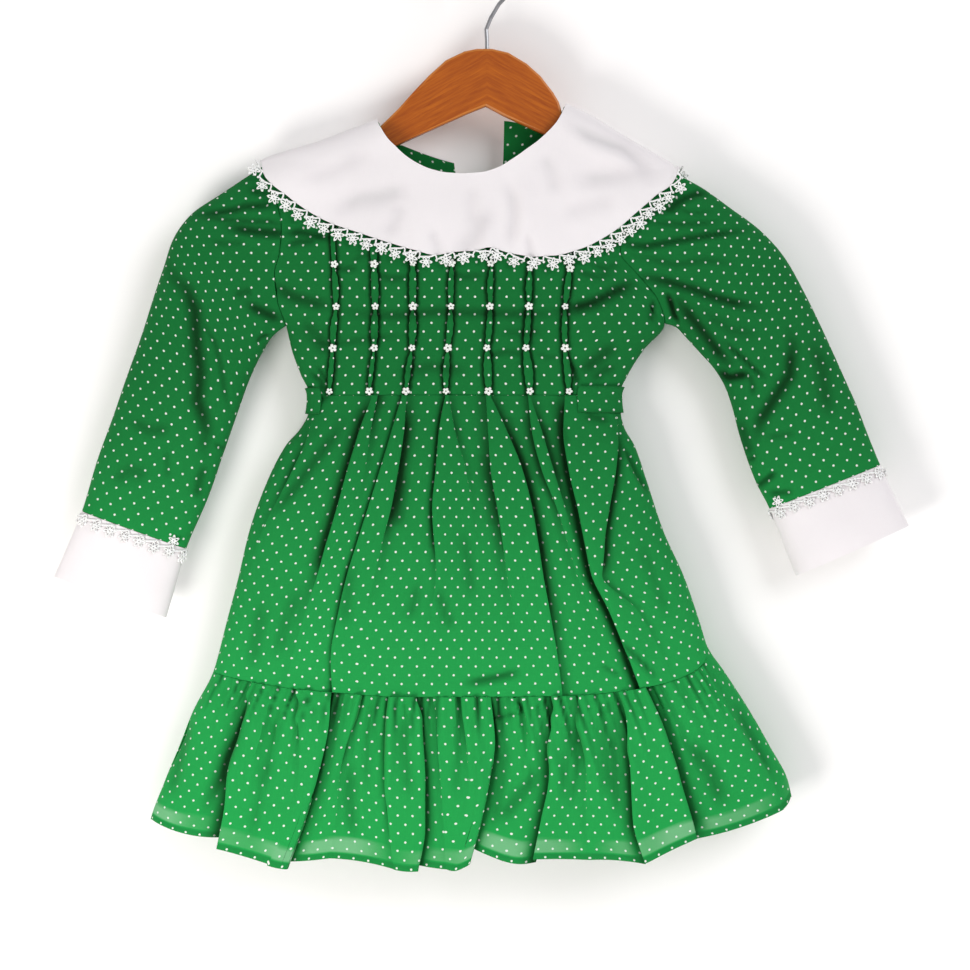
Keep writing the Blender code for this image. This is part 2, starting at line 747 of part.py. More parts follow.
def sleeve_point(right, u, turn):
    """Point on the outside of a sleeve: u counts its sections, turn goes round from the outer edge."""
    rows = SLEEVES[right]
    ax, az, bx, bz, front_depth, back_depth = (curve(rows, u, n) for n in range(1, 7))
    part = (1 - math.cos(turn)) / 2
    front = math.sin(turn) >= 0
    full = math.sqrt(max(0.0, 1 - abs(math.cos(turn)) ** SLEEVE_POWER))
    y = -front_depth * full if front else back_depth * full
    if front:
        for start, end, part_a, part_b, push, half in SLEEVE_FOLDS:
            line = part_a + (part_b - part_a) * (u - start) / (end - start)
            strength = ease(start - 0.6, start + 1.0, u) * (1 - ease(end - 1.2, end + 0.6, u))
            y -= push * strength * full * bell((part - line) / half)
    x, z = ax + (bx - ax) * part, az + (bz - az) * part
    near = (1 - min(1.0, u / 1.8)) ** 2
    if near > 0:
        _, x0, z0, x1, z1 = rows[0][:5]
        level = z0 + (z1 - z0) * part
        seam = edges(level)[1 if right else 0]
        x += (seam - (x0 + (x1 - x0) * part)) * near
        start_y = body(front, 1.0 if right else -1.0, level).y
        y = y * (1 - near) + start_y * near
    return Vector((x + (ARMHOLE_SEAM if right else -ARMHOLE_SEAM), y, z))


def sleeve_normal(right, u, turn):
    step = 0.01
    along = sleeve_point(right, min(12.0, u + step), turn) - sleeve_point(right, max(0.0, u - step), turn)
    around = sleeve_point(right, u, turn + step) - sleeve_point(right, u, turn - step)
    normal = around.cross(along).normalized()
    middle = sleeve_point(right, u, math.pi / 2) + sleeve_point(right, u, 3 * math.pi / 2)
    out = sleeve_point(right, u, turn) - middle / 2
    if normal.dot(out) < 0:
        normal = -normal
    if u < 1e-6:
        normal.x = 0.0
        normal.normalize()
    return normal


def sleeve_ring(name, right, sections, around, low, high, key, edge=None):
    """Ring of cloth round a sleeve through its sections, from low to high above the sleeve's surface."""

    def place(i, j, lift):
        turn = 2 * math.pi * i / around
        u = sections[j] + (edge(i) if edge and j == len(sections) - 1 else 0.0)
        return sleeve_point(right, u, turn) + sleeve_normal(right, u, turn) * lift

    down = len(sections) - 1
    wall(name, around, down, lambda i, j: place(i, j, high), lambda i, j: place(i, j, low), key, True)


def make_sleeves():
    around = 2 * ARMHOLE_ROWS
    sides = ((False, "left", 0.044, 0.028), (True, "right", 0.026, 0.027))
    for right, side, sleeve_section, cuff_section in sides:
        end = 10.0 - HALF_SEAM / sleeve_section
        start = 10.0 + HALF_SEAM / cuff_section
        sections = (0.0, 0.4, 1.0, 2.0, 3.0, 4.0, 5.0, 6.0, 7.0, 8.0, 9.0, end)
        sleeve_ring("sleeve_" + side, right, sections, around, -CLOTH, 0.0, "green")
        sleeve_ring("cuff_" + side, right, (start, 11.0, 12.0), around, -CUFF_CLOTH, 0.0, "white")

        def scallop(i, depth=SCALLOP_DEPTH / cuff_section):
            return -depth * (0.8, 0.2, 0.0, 0.2)[i % 4]

        reach = (start, 10.0 + CUFF_LACE_WIDTH / cuff_section)
        lift = SEAM + 0.0001
        sleeve_ring("cuff_lace_" + side, right, reach, 2 * around, lift, lift + LACE, "lace", scallop)


def drape(x, high):
    """Point of the body's outside from x and the distance down from the ridge, behind it when negative."""
    z = curve(RIDGE, x) - abs(high)
    w = max(-0.999, min(0.999, w_at(x, z)))
    point = body(high >= 0, w, z)
    point.y += HALF_SEAM if high >= 0 else -HALF_SEAM
    point.x = x
    return point


def collar_lines():
    """The collar's rays with each height turned to a distance from the ridge."""
    rows = []
    for x0, z0, x1, z1, side in COLLAR:
        rows.append((x0, side * (curve(RIDGE, x0) - z0), x1, side * (curve(RIDGE, x1) - z1)))
    return numbered(rows)


def collar_flat(a, b):
    x0, h0, x1, h1 = (curve(RAYS, a, n) for n in range(1, 5))
    return x0 + (x1 - x0) * b, h0 + (h1 - h0) * b


def collar_base(a, b):
    """How far the collar's underside stands off the body: clear of the tucks, with soft waves in front."""
    front = ease(4.0, 7.0, a) * (1 - ease(19.0, 21.0, a))
    tip = bell((a - 4.0) / 1.2) + bell((a - 21.0) / 1.2)
    lift = 0.0013 + front * (b * (TUCK_HEIGHT + 0.0002) - 0.0004) + 0.0040 * tip * ease(0.4, 1.0, b)
    wave = 0.0026 * bell((a - 12.9) / 0.55)
    wave += 0.0014 * bell((a - 10.2) / 0.8) + 0.0016 * bell((a - 15.6) / 0.9)
    return lift + wave * ease(0.05, 0.9, b)


def collar_normal(a, b):
    step = 0.02
    across = drape(*collar_flat(min(LAST_RAY, a + step), b)) - drape(*collar_flat(max(0.0, a - step), b))
    down = drape(*collar_flat(a, b + step)) - drape(*collar_flat(a, b - step))
    return -across.cross(down).normalized()


def collar_columns():
    """Places along the collar, closer together where it turns over each shoulder."""
    stops = [0.0]
    while stops[-1] < LAST_RAY - 1e-6:
        at = stops[-1]
        turning = min(abs(at - 4.0), abs(at - 21.0))
        stops.append(min(LAST_RAY, at + (0.125 if turning < 0.85 else 0.5)))
    return stops


def make_collar():
    stops, down = collar_columns(), 4

    def place(i, j, lift):
        a, b = stops[i], j / down
        return drape(*collar_flat(a, b)) + collar_normal(a, b) * (collar_base(a, b) + lift)

    last = len(stops) - 1
    wall("collar", last, down, lambda i, j: place(i, j, CLOTH), lambda i, j: place(i, j, 0.0), "white")


def make_collar_lace():
    fine = 800
    runs = [0.0]
    for n in range(fine):
        a, b = (collar_flat(LAST_RAY * m / fine, 1.0) for m in (n, n + 1))
        runs.append(runs[-1] + math.hypot(b[0] - a[0], b[1] - a[1]))
    motifs = round(runs[-1] / SCALLOP_PITCH)
    across = motifs * 3
    table = [(runs[n], LAST_RAY * n / fine) for n in range(fine + 1)]

    def place(i, j, lift):
        a = straight(table, runs[-1] * i / across)
        before, after = collar_flat(max(0.0, a - 0.05), 1.0), collar_flat(min(LAST_RAY, a + 0.05), 1.0)
        run = math.hypot(after[0] - before[0], after[1] - before[1])
        out = ((before[1] - after[1]) / run, (after[0] - before[0]) / run)
        dent = (0.0, 1.0, 1.0)[i % 3]
        reach = 0.0009 + j * (COLLAR_LACE_WIDTH - SCALLOP_DEPTH * (1 - dent))
        x, high = collar_flat(a, 1.0)
        point = drape(x + out[0] * reach, high + out[1] * reach)
        return point + collar_normal(a, 1.0) * (collar_base(a, 1.0) + lift)

    wall("collar_lace", across, 1, lambda i, j: place(i, j, LACE), lambda i, j: place(i, j, 0.0), "lace")


def make_sashes():
    turn = (0.86, 0.91, 0.95, 0.98, 0.996, 1.0)
    rows = (
        ("sash_right", 1.0, (0.722, 0.79) + turn, (-0.3465, -0.3575, -0.3680)),
        ("sash_left", -1.0, (0.915, 0.95, 0.98, 0.996, 1.0), (-0.3475, -0.3580, -0.3690)),
    )
    for name, side, front_part, heights in rows:
        stops = [(True, side * w) for w in front_part]
        behind = (0.996, 0.98, 0.95, 0.91, 0.86, 0.79, 0.72, 0.64, 0.56, 0.48, 0.40, 0.32, 0.24, 0.16, 0.08)
        stops += [(False, side * w) for w in behind]
        stops.append((False, -0.060 + 0.5 * (side * 0.022)))

        def place(i, j, lift):
            front, w = stops[i]
            push = skirt_folds if front else back_skirt_folds
            slant = 0.0035 if side > 0 and i == 0 and j < 2 else 0.0
            z = heights[j] + slant
            n = body_normal(front, w, z, push)
            if abs(w) == 1.0:
                n.y = 0.0
                n.normalize()
            return body(front, w, z, push(w, z)) + n * (0.0011 + lift)

        last = len(stops) - 1
        wall(name, last, 2, lambda i, j: place(i, j, CLOTH), lambda i, j: place(i, j, 0.0), "sash")


def make_buttons():
    for name, z in (("button_top", -0.230), ("button_middle", -0.278), ("button_low", -0.326)):
        x = curve(BACK_OPENING, z, 2) + 0.0085
        at = body(False, w_at(x, z), z)
        made = bmesh.new()
        bmesh.ops.create_cone(
            made,
            cap_ends=True,
            segments=12,
            radius1=BUTTON_RADIUS,
            radius2=BUTTON_RADIUS * 0.86,
            depth=BUTTON_THICK,
        )
        for v in made.verts:
            v.co = (v.co.x + x, v.co.z + at.y + BUTTON_THICK / 2 + 0.0006, v.co.y + z)
        add_mesh(name, made, "button")


def make_hanger():
    made = bmesh.new()
    ring = [made.verts.new((x, -WOOD_HALF, z)) for x, z in WOOD]
    front = made.faces.new(ring)
    pushed = bmesh.ops.extrude_face_region(made, geom=[front])
    for v in (g for g in pushed["geom"] if isinstance(g, bmesh.types.BMVert)):
        v.co.y = WOOD_HALF
    long_edges = [e for e in made.edges if abs(e.verts[0].co.y - e.verts[1].co.y) < 1e-6]
    bmesh.ops.bevel(made, geom=long_edges, offset=WOOD_BEVEL, segments=2, profile=0.5, affect="EDGES")
    wood = add_mesh("hanger_wood", made, "wood")
    top, low = -0.0700, HOOK_BORE_END
    bpy.ops.mesh.primitive_cylinder_add(
        vertices=16, radius=HOOK_BORE_RADIUS, depth=top - low, location=(0.0, 0.0, (top + low) / 2)
    )
    bore = bpy.context.object
    bore.name = "hook_bore"
    bore.hide_render = True
    cut = wood.modifiers.new("bore", "BOOLEAN")
    cut.operation = "DIFFERENCE"
    cut.solver = "EXACT"
    cut.object = bore


def make_hook():
    points = [(0.0, HOOK_BORE_END + SEAM), (0.0, -0.0850), (0.0, -0.0700)]
    points += [(-0.0006, -0.0610), (0.0030, -0.0520), (0.0095, -0.0410)]
    for step in range(25):
        turn = math.radians(-33 + step * 235 / 24)
        points.append((HOOK_RADIUS * math.cos(turn), HOOK_CENTRE_Z + HOOK_RADIUS * math.sin(turn)))
    line = bpy.data.curves.new("hanger_hook", "CURVE")
    line.dimensions = "3D"
    line.bevel_depth = WIRE_RADIUS
    line.bevel_resolution = 2
    line.use_fill_caps = True
    spline = line.splines.new("POLY")
    spline.points.add(len(points) - 1)
    for point, (x, z) in zip(spline.points, points):
        point.co = (x, 0.0, z, 1.0)
    obj = bpy.data.objects.new("hanger_hook", line)
    bpy.context.scene.collection.objects.link(obj)
    paint(obj, "steel")


for old in list(bpy.data.objects):
    bpy.data.objects.remove(old)

SLEEVES = {False: numbered(SLEEVE_LEFT), True: numbered(SLEEVE_RIGHT)}
RAYS = collar_lines()
LAST_RAY = float(len(COLLAR) - 1)

make_hanger()
make_hook()
make_bodice()
make_skirt()
make_sleeves()
make_collar()
make_collar_lace()
make_sashes()
make_buttons()
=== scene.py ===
# %% [markdown]
# # A child's pin-dot dress on a wooden hanger
#
# The dress hangs flat against a wall. Its bodice has seven pressed tucks held by small embroidered
# knots, its cape collar and cuffs are white with crochet flowers, and its skirt ends in a gathered
# ruffle. The solid model gives every panel its size and place. These cells lay fine cloth over
# those panels, with the creases, the dots and the stitching that the solids leave out.

import math

import bpy
import numpy as np
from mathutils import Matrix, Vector


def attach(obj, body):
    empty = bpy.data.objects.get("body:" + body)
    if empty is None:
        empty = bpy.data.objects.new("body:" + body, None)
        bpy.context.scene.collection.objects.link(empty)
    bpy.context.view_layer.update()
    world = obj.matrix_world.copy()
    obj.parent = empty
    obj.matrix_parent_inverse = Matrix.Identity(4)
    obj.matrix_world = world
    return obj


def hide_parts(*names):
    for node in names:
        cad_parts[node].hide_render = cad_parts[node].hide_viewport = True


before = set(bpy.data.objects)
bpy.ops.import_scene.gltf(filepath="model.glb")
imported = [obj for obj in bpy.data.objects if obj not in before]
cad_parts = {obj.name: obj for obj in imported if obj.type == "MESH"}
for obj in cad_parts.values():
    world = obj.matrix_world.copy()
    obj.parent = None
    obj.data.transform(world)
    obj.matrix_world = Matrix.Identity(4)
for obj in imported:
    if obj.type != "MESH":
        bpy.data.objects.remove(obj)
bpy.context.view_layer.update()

# %% [markdown]
# ## Smooth lines through short tables
#
# A dressmaker draws a panel from a few measured points and a curved ruler. `curve` is that ruler:
# it passes through every row of a table and never swings past one, so an edge stays calm between
# its points. `ease` fades a fold in or out, and `bell` gives a soft rounded ridge.

# %% Curved ruler


def curve(table, at, column=1):
    """Values of a table's column at places, on a smooth line through its rows."""
    rows = np.array(sorted(table), dtype=float)
    x, y = rows[:, 0], rows[:, column]
    step = np.diff(y) / np.diff(x)
    slope = np.concatenate(([step[0]], np.zeros(len(x) - 2), [step[-1]]))
    turn = step[1:] * step[:-1]
    total = np.where(turn > 0, step[1:] + step[:-1], 1.0)
    slope[1:-1] = np.where(turn > 0, 2 * turn / total, 0.0)
    at = np.clip(at, x[0], x[-1])
    k = np.clip(np.searchsorted(x, at) - 1, 0, len(x) - 2)
    width = x[k + 1] - x[k]
    t = (at - x[k]) / width
    rise = t * t * (3 - 2 * t)
    return y[k] + (y[k + 1] - y[k]) * rise + width * t * (1 - t) * (slope[k] * (1 - t) - slope[k + 1] * t)


def straight(table, at, column=1):
    rows = np.array(sorted(table), dtype=float)
    return np.interp(at, rows[:, 0], rows[:, column])


def ease(a, b, at):
    t = np.clip((at - a) / (b - a), 0.0, 1.0)
    return t * t * (3 - 2 * t)


def bell(at):
    return np.exp(-at * at)

# %% [markdown]
# ## The body that the panels follow
#
# On its hanger the dress is a flat, soft tube. A short table gives its two side edges and its depth
# at each height, and a rounded section joins them. Front and back panels read the same surface, so
# their side seams meet.

# %% Outline of the body
HALF_SEAM = 0.00015
BODY_POWER = 3.2
RIDGE_ROUND = 0.022
WAIST = -0.3540
ARMHOLE_FRONT = 0.0120
ARMHOLE_BACK = 0.0095
SLEEVE_POWER = 2.6
ARMHOLE_SEAM = 0.0005
NECK_LEFT, NECK_RIGHT = -0.0870, 0.0620  # where the neck's edge leaves the shoulder ridge

# height, x of the left and the right side edge, depth in front and behind
SIDES = (
    (-0.1200, -0.1780, 0.1480, 0.0140, 0.0125),
    (-0.1770, -0.1780, 0.1480, 0.0160, 0.0130),
    (-0.2020, -0.1670, 0.1240, 0.0175, 0.0130),
    (-0.2200, -0.1635, 0.1100, 0.0185, 0.0130),
    (-0.2400, -0.1650, 0.1060, 0.0195, 0.0135),
    (-0.2570, -0.1690, 0.1190, 0.0205, 0.0135),
    (-0.2780, -0.1670, 0.1360, 0.0210, 0.0140),
    (-0.2970, -0.1610, 0.1420, 0.0210, 0.0140),
    (-0.3180, -0.1560, 0.1250, 0.0205, 0.0135),
    (-0.3370, -0.1490, 0.1130, 0.0195, 0.0130),
    (-0.3540, -0.1420, 0.1060, 0.0190, 0.0125),
    (-0.3680, -0.1430, 0.1070, 0.0205, 0.0130),
    (-0.3800, -0.1490, 0.1100, 0.0220, 0.0135),
    (-0.3940, -0.1610, 0.1180, 0.0240, 0.0140),
    (-0.4230, -0.1760, 0.1280, 0.0265, 0.0150),
    (-0.4620, -0.1900, 0.1410, 0.0285, 0.0160),
    (-0.5000, -0.1990, 0.1580, 0.0300, 0.0170),
    (-0.5380, -0.2090, 0.1710, 0.0310, 0.0175),
    (-0.5540, -0.2130, 0.1760, 0.0315, 0.0180),
    (-0.5750, -0.2190, 0.1900, 0.0320, 0.0185),
    (-0.6060, -0.2350, 0.2100, 0.0345, 0.0200),
    (-0.6340, -0.2460, 0.2260, 0.0365, 0.0210),
    (-0.6630, -0.2580, 0.2410, 0.0380, 0.0220),
    (-0.6980, -0.2700, 0.2470, 0.0395, 0.0225),
    (-0.7350, -0.2730, 0.2490, 0.0400, 0.0230),
)

# x, height of the shoulder ridge
RIDGE = (
    (-0.2050, -0.1800),
    (-0.1780, -0.1700),
    (-0.1300, -0.1515),
    (-0.0870, -0.1350),
    (-0.0500, -0.1215),
    (-0.0130, -0.1130),
    (0.0300, -0.1130),
    (0.0620, -0.1225),
    (0.0740, -0.1275),
    (0.1080, -0.1480),
    (0.1360, -0.1670),
    (0.1480, -0.1745),
    (0.1600, -0.1805),
    (0.1800, -0.1930),
)

# height of the shoulder and of the armpit at each armhole
ARMHOLES = {"left": (-0.1700, -0.2985), "right": (-0.1755, -0.2965)}


def edges(z):
    return curve(SIDES, z, 1), curve(SIDES, z, 2)


def x_at(w, z):
    left, right = edges(z)
    return (left + right) / 2 + (right - left) / 2 * w


def w_at(x, z):
    left, right = edges(z)
    return np.clip((x - (left + right) / 2) / ((right - left) / 2), -1.0, 1.0)


def armhole_depth(front, w, z):
    """How far the armhole's edge stands off the middle plane."""
    depth = 0.0
    for side, (top, low) in ARMHOLES.items():
        v = np.abs((2 * z - top - low) / (top - low))
        here = np.sqrt(np.maximum(0.0, 1 - v**SLEEVE_POWER))
        depth = np.where((w > 0) == (side == "right"), here, depth)
    return depth * (ARMHOLE_FRONT if front else ARMHOLE_BACK)


def body(front, w, z):
    """Points on the outside of the body from their place across, -1 to 1, and their height."""
    x = x_at(w, z)
    depth = curve(SIDES, z, 3 if front else 4)
    stand_off = armhole_depth(front, w, z) / depth
    reach = np.abs(w) ** BODY_POWER * (1 - stand_off**2)
    below = np.maximum(0.0, curve(RIDGE, x) - z)
    over = 1 - np.minimum(below, RIDGE_ROUND) / RIDGE_ROUND
    y = depth * np.sqrt(np.maximum(0.0, 1 - reach)) * np.sqrt(np.maximum(0.0, 1 - over**2))
    return np.stack([x, -y - HALF_SEAM if front else y + HALF_SEAM, z * np.ones_like(x)], axis=-1)


print("body at the waist:", [round(float(v), 4) for v in edges(WAIST)])

# %% [markdown]
# ## From points to cloth
#
# Each panel starts as Blender's own grid, whose points are then set on the panel. Its pattern
# coordinates are in metres of cloth, so the dots keep their real size. `Solidify` then gives the grid
# the thickness of a summer cotton, on the inside, and shading is smoothed up to real edges.

# %% Laying out cloth
COTTON = 0.0005


def unit(vectors):
    return vectors / np.maximum(np.linalg.norm(vectors, axis=-1, keepdims=True), 1e-12)


def facing(points, ring=False):
    """Outward normals of a grid of points whose rows run down and whose columns run across."""
    if ring:
        across = np.roll(points, -1, axis=1) - np.roll(points, 1, axis=1)
    else:
        across = np.gradient(points, axis=1)
    return unit(np.cross(np.gradient(points, axis=0), across))


def lay_out(name, points, uv, painted_shade=None, painted_through_light=None, ring=False, thick=COTTON):
    """Cloth whose points are points[j, i] and whose pattern coordinates in metres are uv[j, i]."""
    rows, columns = points.shape[:2]
    bpy.ops.object.select_all(action="DESELECT")
    bpy.ops.mesh.primitive_grid_add(x_subdivisions=columns - 1, y_subdivisions=rows - 1, size=2)
    obj = bpy.context.object
    obj.name = obj.data.name = name
    mesh = obj.data
    place = np.empty(len(mesh.vertices) * 3)
    mesh.vertices.foreach_get("co", place)
    place = place.reshape(-1, 3)
    i = np.rint((place[:, 0] + 1) / 2 * (columns - 1)).astype(int)
    j = np.rint((1 - place[:, 1]) / 2 * (rows - 1)).astype(int)
    mesh.vertices.foreach_set("co", np.ascontiguousarray(points[j, i]).ravel())
    corner = np.empty(len(mesh.loops), np.int32)
    mesh.loops.foreach_get("vertex_index", corner)
    layer = mesh.uv_layers.active or mesh.uv_layers.new(name="cloth")
    layer.name = "cloth"
    layer.uv.foreach_set("vector", np.ascontiguousarray(uv[j[corner], i[corner]]).ravel())
    # These attributes carry painted shade in folds and creases, and painted light through single cloth.
    for label, values in (("painted_shade", painted_shade), ("painted_through_light", painted_through_light)):
        if values is not None:
            made = mesh.attributes.new(label, "FLOAT", "POINT")
            made.data.foreach_set("value", np.ascontiguousarray(values[j, i]).ravel().astype(np.float32))
    if ring:
        bpy.ops.object.mode_set(mode="EDIT")
        bpy.ops.mesh.select_all(action="SELECT")
        bpy.ops.mesh.remove_doubles(threshold=0.00002)
        bpy.ops.object.mode_set(mode="OBJECT")
    if thick:
        wall = obj.modifiers.new("thickness", "SOLIDIFY")
        wall.thickness = thick
        wall.offset = -1
        bpy.ops.object.modifier_apply(modifier=wall.name)
    bpy.ops.object.shade_smooth_by_angle(angle=math.radians(60))
    return obj


def wear(obj, material, slot, *nodes):
    """Gives a piece its material and puts it in place of its solids. Its slot is not used."""
    obj.data.materials.clear()
    obj.data.materials.append(material)
    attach(obj, "root")
    if nodes:
        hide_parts(*nodes)
    return obj


# %% [markdown]
# ## Folded cloth
#
# A pleat, a tuck and a big skirt fold are one thing seen at three sizes: along a line, the cloth on one
# side lies over the cloth on the other. `fold_over` lifts the upper side, sinks the lower one and
# pushes the edge out over the gap, so the line is dark because it is deep. It also gives painted shade
# for the low side, which darkens the colour there. Columns of the grid run along these lines, which
# keeps each edge sharp without a very fine mesh.

# %% Fold lines
EDGE = 0.00025  # between a fold line and the nearest column of the grid
HARD_STEP = 0.0042  # a fold that steps this far is a hard edge
SPREAD_TO_LINES = 0.11


def fold_over(x, line, step, side, low, high):
    """Lift and sideways shift near a fold line, and how deep the cloth lies in its shade."""
    s = (x - line) * side
    top = s > 0
    hard = ease(0.0016, HARD_STEP, step)
    near = np.exp(-np.abs(s) / (0.0007 + 0.0030 * (1 - hard)))
    lift = np.where(top, 0.6 * step * bell(s / high) * (1 - (1 - 0.5 * hard) * near), 0.0)
    lift = lift - np.where(top, 0.0, 0.5 * step * bell(s / low) * (1 - (1 - hard) * near))
    over = np.where(top, -0.36 * step * bell(s / 0.0035), 0.22 * step * bell(s / 0.0016)) * hard
    reach = np.where(hard > 0.5, 0.8, 0.6) * low
    middle = (1 - hard) * 0.25 * low
    # The low side gets painted shade, strongest for a hard step.
    full_shade = np.minimum(1.0, step / HARD_STEP) * (0.35 + 0.65 * hard)
    shade = np.where(top, 0.0, full_shade * bell((s + middle) / reach))
    return lift, over * side, shade


def span_columns(counts):
    """For spans between fold lines: each column's span, and its part of the way across it."""
    span, part = [], []
    for k, count in enumerate(counts):
        t = np.linspace(0.0, 1.0, count)
        span += [k] * count
        part += list(t - SPREAD_TO_LINES * np.sin(2 * math.pi * t))
    return np.array(span), np.array(part)


def between_lines(lines, span, part):
    """Each column's place across, in its span between two fold lines."""
    here = np.arange(len(span))
    left, right = lines[here, span], lines[here, span + 1]
    near = np.where(span == 0, 0.0, EDGE)
    far = np.where(span == span[-1], 0.0, EDGE)
    return left + near + (right - left - near - far) * part


def run_along(points):
    """Length along each row of a grid of points, from its first column."""
    steps = np.linalg.norm(np.diff(points, axis=1), axis=-1)
    return np.concatenate([np.zeros((len(points), 1)), np.cumsum(steps, axis=1)], axis=1)


def cloth_run(points, span, part, shown):
    """Length of cloth along each row. Between two fold lines it runs on from the middle, so cloth that a
    fold hides is left out. Where a line's fold fades away, the two sides are drawn together again."""
    run = run_along(points)
    u = np.empty_like(run)
    spans = [np.flatnonzero(span == k) for k in range(span.max() + 1)]
    for own in spans:
        middle = own[len(own) // 2]
        u[:, own] = run[:, own] - run[:, [middle]] + run[-1, middle]
    gaps = [(u[:, b[0]] - u[:, a[-1]]) * (1 - shown[:, k]) / 2 for k, (a, b) in enumerate(zip(spans, spans[1:]))]
    for k, own in enumerate(spans):
        left = -gaps[k - 1] if k else 0.0 * u[:, 0]
        right = gaps[k] if k < len(gaps) else 0.0 * u[:, 0]
        u[:, own] += left[:, None] * (1 - part[own]) + right[:, None] * part[own]
    return u


def crease_push(points, creases):
    """Lift and shade of soft creases drawn over a panel as bent lines."""
    x, z = points[..., 0], points[..., 2]
    lift, shade = np.zeros_like(x), np.zeros_like(x)
    for push, half, lip, *line in creases:
        push, half = 0.001 * push, 0.001 * half
        line = np.array(line).reshape(-1, 2)
        runs = np.concatenate([[0.0], np.cumsum(np.linalg.norm(np.diff(line, axis=0), axis=1))])
        best, at, off = np.full_like(x, 9.0), np.zeros_like(x), np.zeros_like(x)
        for k, (a, b) in enumerate(zip(line, line[1:])):
            d = b - a
            t = np.clip(((x - a[0]) * d[0] + (z - a[1]) * d[1]) / (d @ d), 0.0, 1.0)
            gx, gz = x - a[0] - t * d[0], z - a[1] - t * d[1]
            gap = np.hypot(gx, gz)
            nearer = gap < best
            best = np.where(nearer, gap, best)
            off = np.where(nearer, gap * np.sign(gx * d[1] - gz * d[0]), off)
            at = np.where(nearer, (runs[k] + t * (runs[k + 1] - runs[k])) / runs[-1], at)
        fade = np.minimum(1.0, 0.15 + 3.6 * at) * np.minimum(1.0, 4.2 * (1 - at))
        lift += push * fade * (bell(off / half) - 0.55 * abs(lip) * bell((off - lip * 1.8 * half) / (1.2 * half)))
        # A sunk crease also gives painted shade.
        if push < 0:
            shade += fade * min(1.0, -push / 0.0055) * bell((off + 0.2 * lip * half) / (0.9 * half))
    return lift, shade

# %% [markdown]
# ## Shared patterns
#
# The dress fabric is a lawn: fine, slightly slubby plain weave with small woven-in dots. Three node
# groups hold what several materials share. Each only puts out masks and heights. The shader itself
# stays in the material.

# %% Node groups


def new_group(name, inputs, outputs):
    group = bpy.data.node_groups.new(name, "ShaderNodeTree")
    for label, kind, value in inputs:
        socket = group.interface.new_socket(label, in_out="INPUT", socket_type=kind)
        if value is not None:
            socket.default_value = value
    for label in outputs:
        group.interface.new_socket(label, in_out="OUTPUT", socket_type="NodeSocketFloat")
    return group, group.nodes.new("NodeGroupInput"), group.nodes.new("NodeGroupOutput")


def put(tree, kind, settings=None, **values):
    """Adds a node, sets its properties and inputs, and links the inputs that are given as sockets."""
    node = tree.nodes.new(kind)
    for key, value in (settings or {}).items():
        setattr(node, key, value)
    for key, value in values.items():
        socket = node.inputs[int(key[1:]) if key[1:].isdigit() else key.replace("_", " ")]
        if isinstance(value, bpy.types.NodeSocket):
            tree.links.new(value, socket)
        else:
            socket.default_value = value
    return node


def sums(tree, operation, a, b=0.0, c=None):
    values = {"_0": a, "_1": b}
    if c is not None:
        values["_2"] = c
    return put(tree, "ShaderNodeMath", {"operation": operation}, **values).outputs[0]


def make_dots():
    group, given, result = new_group(
        "Pin dots",
        [("Cloth", "NodeSocketVector", None), ("Across", "NodeSocketFloat", 0.0118),
         ("Along", "NodeSocketFloat", 0.0138), ("Radius", "NodeSocketFloat", 0.00090)],
        ["Dot"],
    )
    wobble = put(
        group, "ShaderNodeTexNoise", {"noise_dimensions": "2D"}, Vector=given.outputs["Cloth"], Scale=1400.0, Detail=1.0
    )
    shift = put(group, "ShaderNodeVectorMath", {"operation": "SCALE"}, _0=wobble.outputs["Color"], Scale=0.00042)
    place = put(group, "ShaderNodeVectorMath", {"operation": "ADD"}, _0=given.outputs["Cloth"], _1=shift.outputs[0])
    parts = put(group, "ShaderNodeSeparateXYZ", Vector=place.outputs[0])
    distances = []
    for offset in (0.0, 0.5):
        squares = []
        for axis, pitch in ((0, "Across"), (1, "Along")):
            count = sums(group, "DIVIDE", parts.outputs[axis], given.outputs[pitch])
            moved = sums(group, "ADD", count, offset)
            inside = sums(group, "SUBTRACT", sums(group, "FRACT", moved), 0.5)
            length = sums(group, "MULTIPLY", inside, given.outputs[pitch])
            squares.append(sums(group, "MULTIPLY", length, length))
        distances.append(sums(group, "SQRT", sums(group, "ADD", *squares)))
    nearest = sums(group, "MINIMUM", *distances)
    edge = put(
        group, "ShaderNodeMapRange", {"interpolation_type": "SMOOTHSTEP"},
        Value=nearest, _1=sums(group, "MULTIPLY", given.outputs["Radius"], 0.80),
        _2=sums(group, "MULTIPLY", given.outputs["Radius"], 1.15), _3=1.0, _4=0.0,
    )
    group.links.new(edge.outputs[0], result.inputs["Dot"])
    return group


def make_weave():
    group, given, result = new_group(
        "Plain weave",
        [("Cloth", "NodeSocketVector", None), ("Thread", "NodeSocketFloat", 0.00034)],
        ["Height", "Slub"],
    )
    parts = put(group, "ShaderNodeSeparateXYZ", Vector=given.outputs["Cloth"])
    waves, cells = [], []
    for axis in (0, 1):
        count = sums(group, "DIVIDE", parts.outputs[axis], given.outputs["Thread"])
        cells.append(sums(group, "FLOOR", count))
        waves.append(sums(group, "ABSOLUTE", sums(group, "SINE", sums(group, "MULTIPLY", count, math.pi))))
    even = sums(group, "PINGPONG", sums(group, "ADD", *cells), 1.0)
    over = put(group, "ShaderNodeMix", {"data_type": "FLOAT"}, Factor=even, A=waves[0], B=waves[1])
    group.links.new(over.outputs[0], result.inputs["Height"])
    slubs = []
    for scale in ((90.0, 1500.0, 1.0), (1500.0, 90.0, 1.0)):
        drawn = put(group, "ShaderNodeVectorMath", {"operation": "MULTIPLY"}, _0=given.outputs["Cloth"], _1=scale)
        threads = put(
            group, "ShaderNodeTexNoise", {"noise_dimensions": "2D"}, Vector=drawn.outputs[0], Scale=1.0, Detail=1.0
        )
        slubs.append(threads.outputs["Fac"])
    group.links.new(sums(group, "MULTIPLY", sums(group, "ADD", *slubs), 0.5), result.inputs["Slub"])
    return group


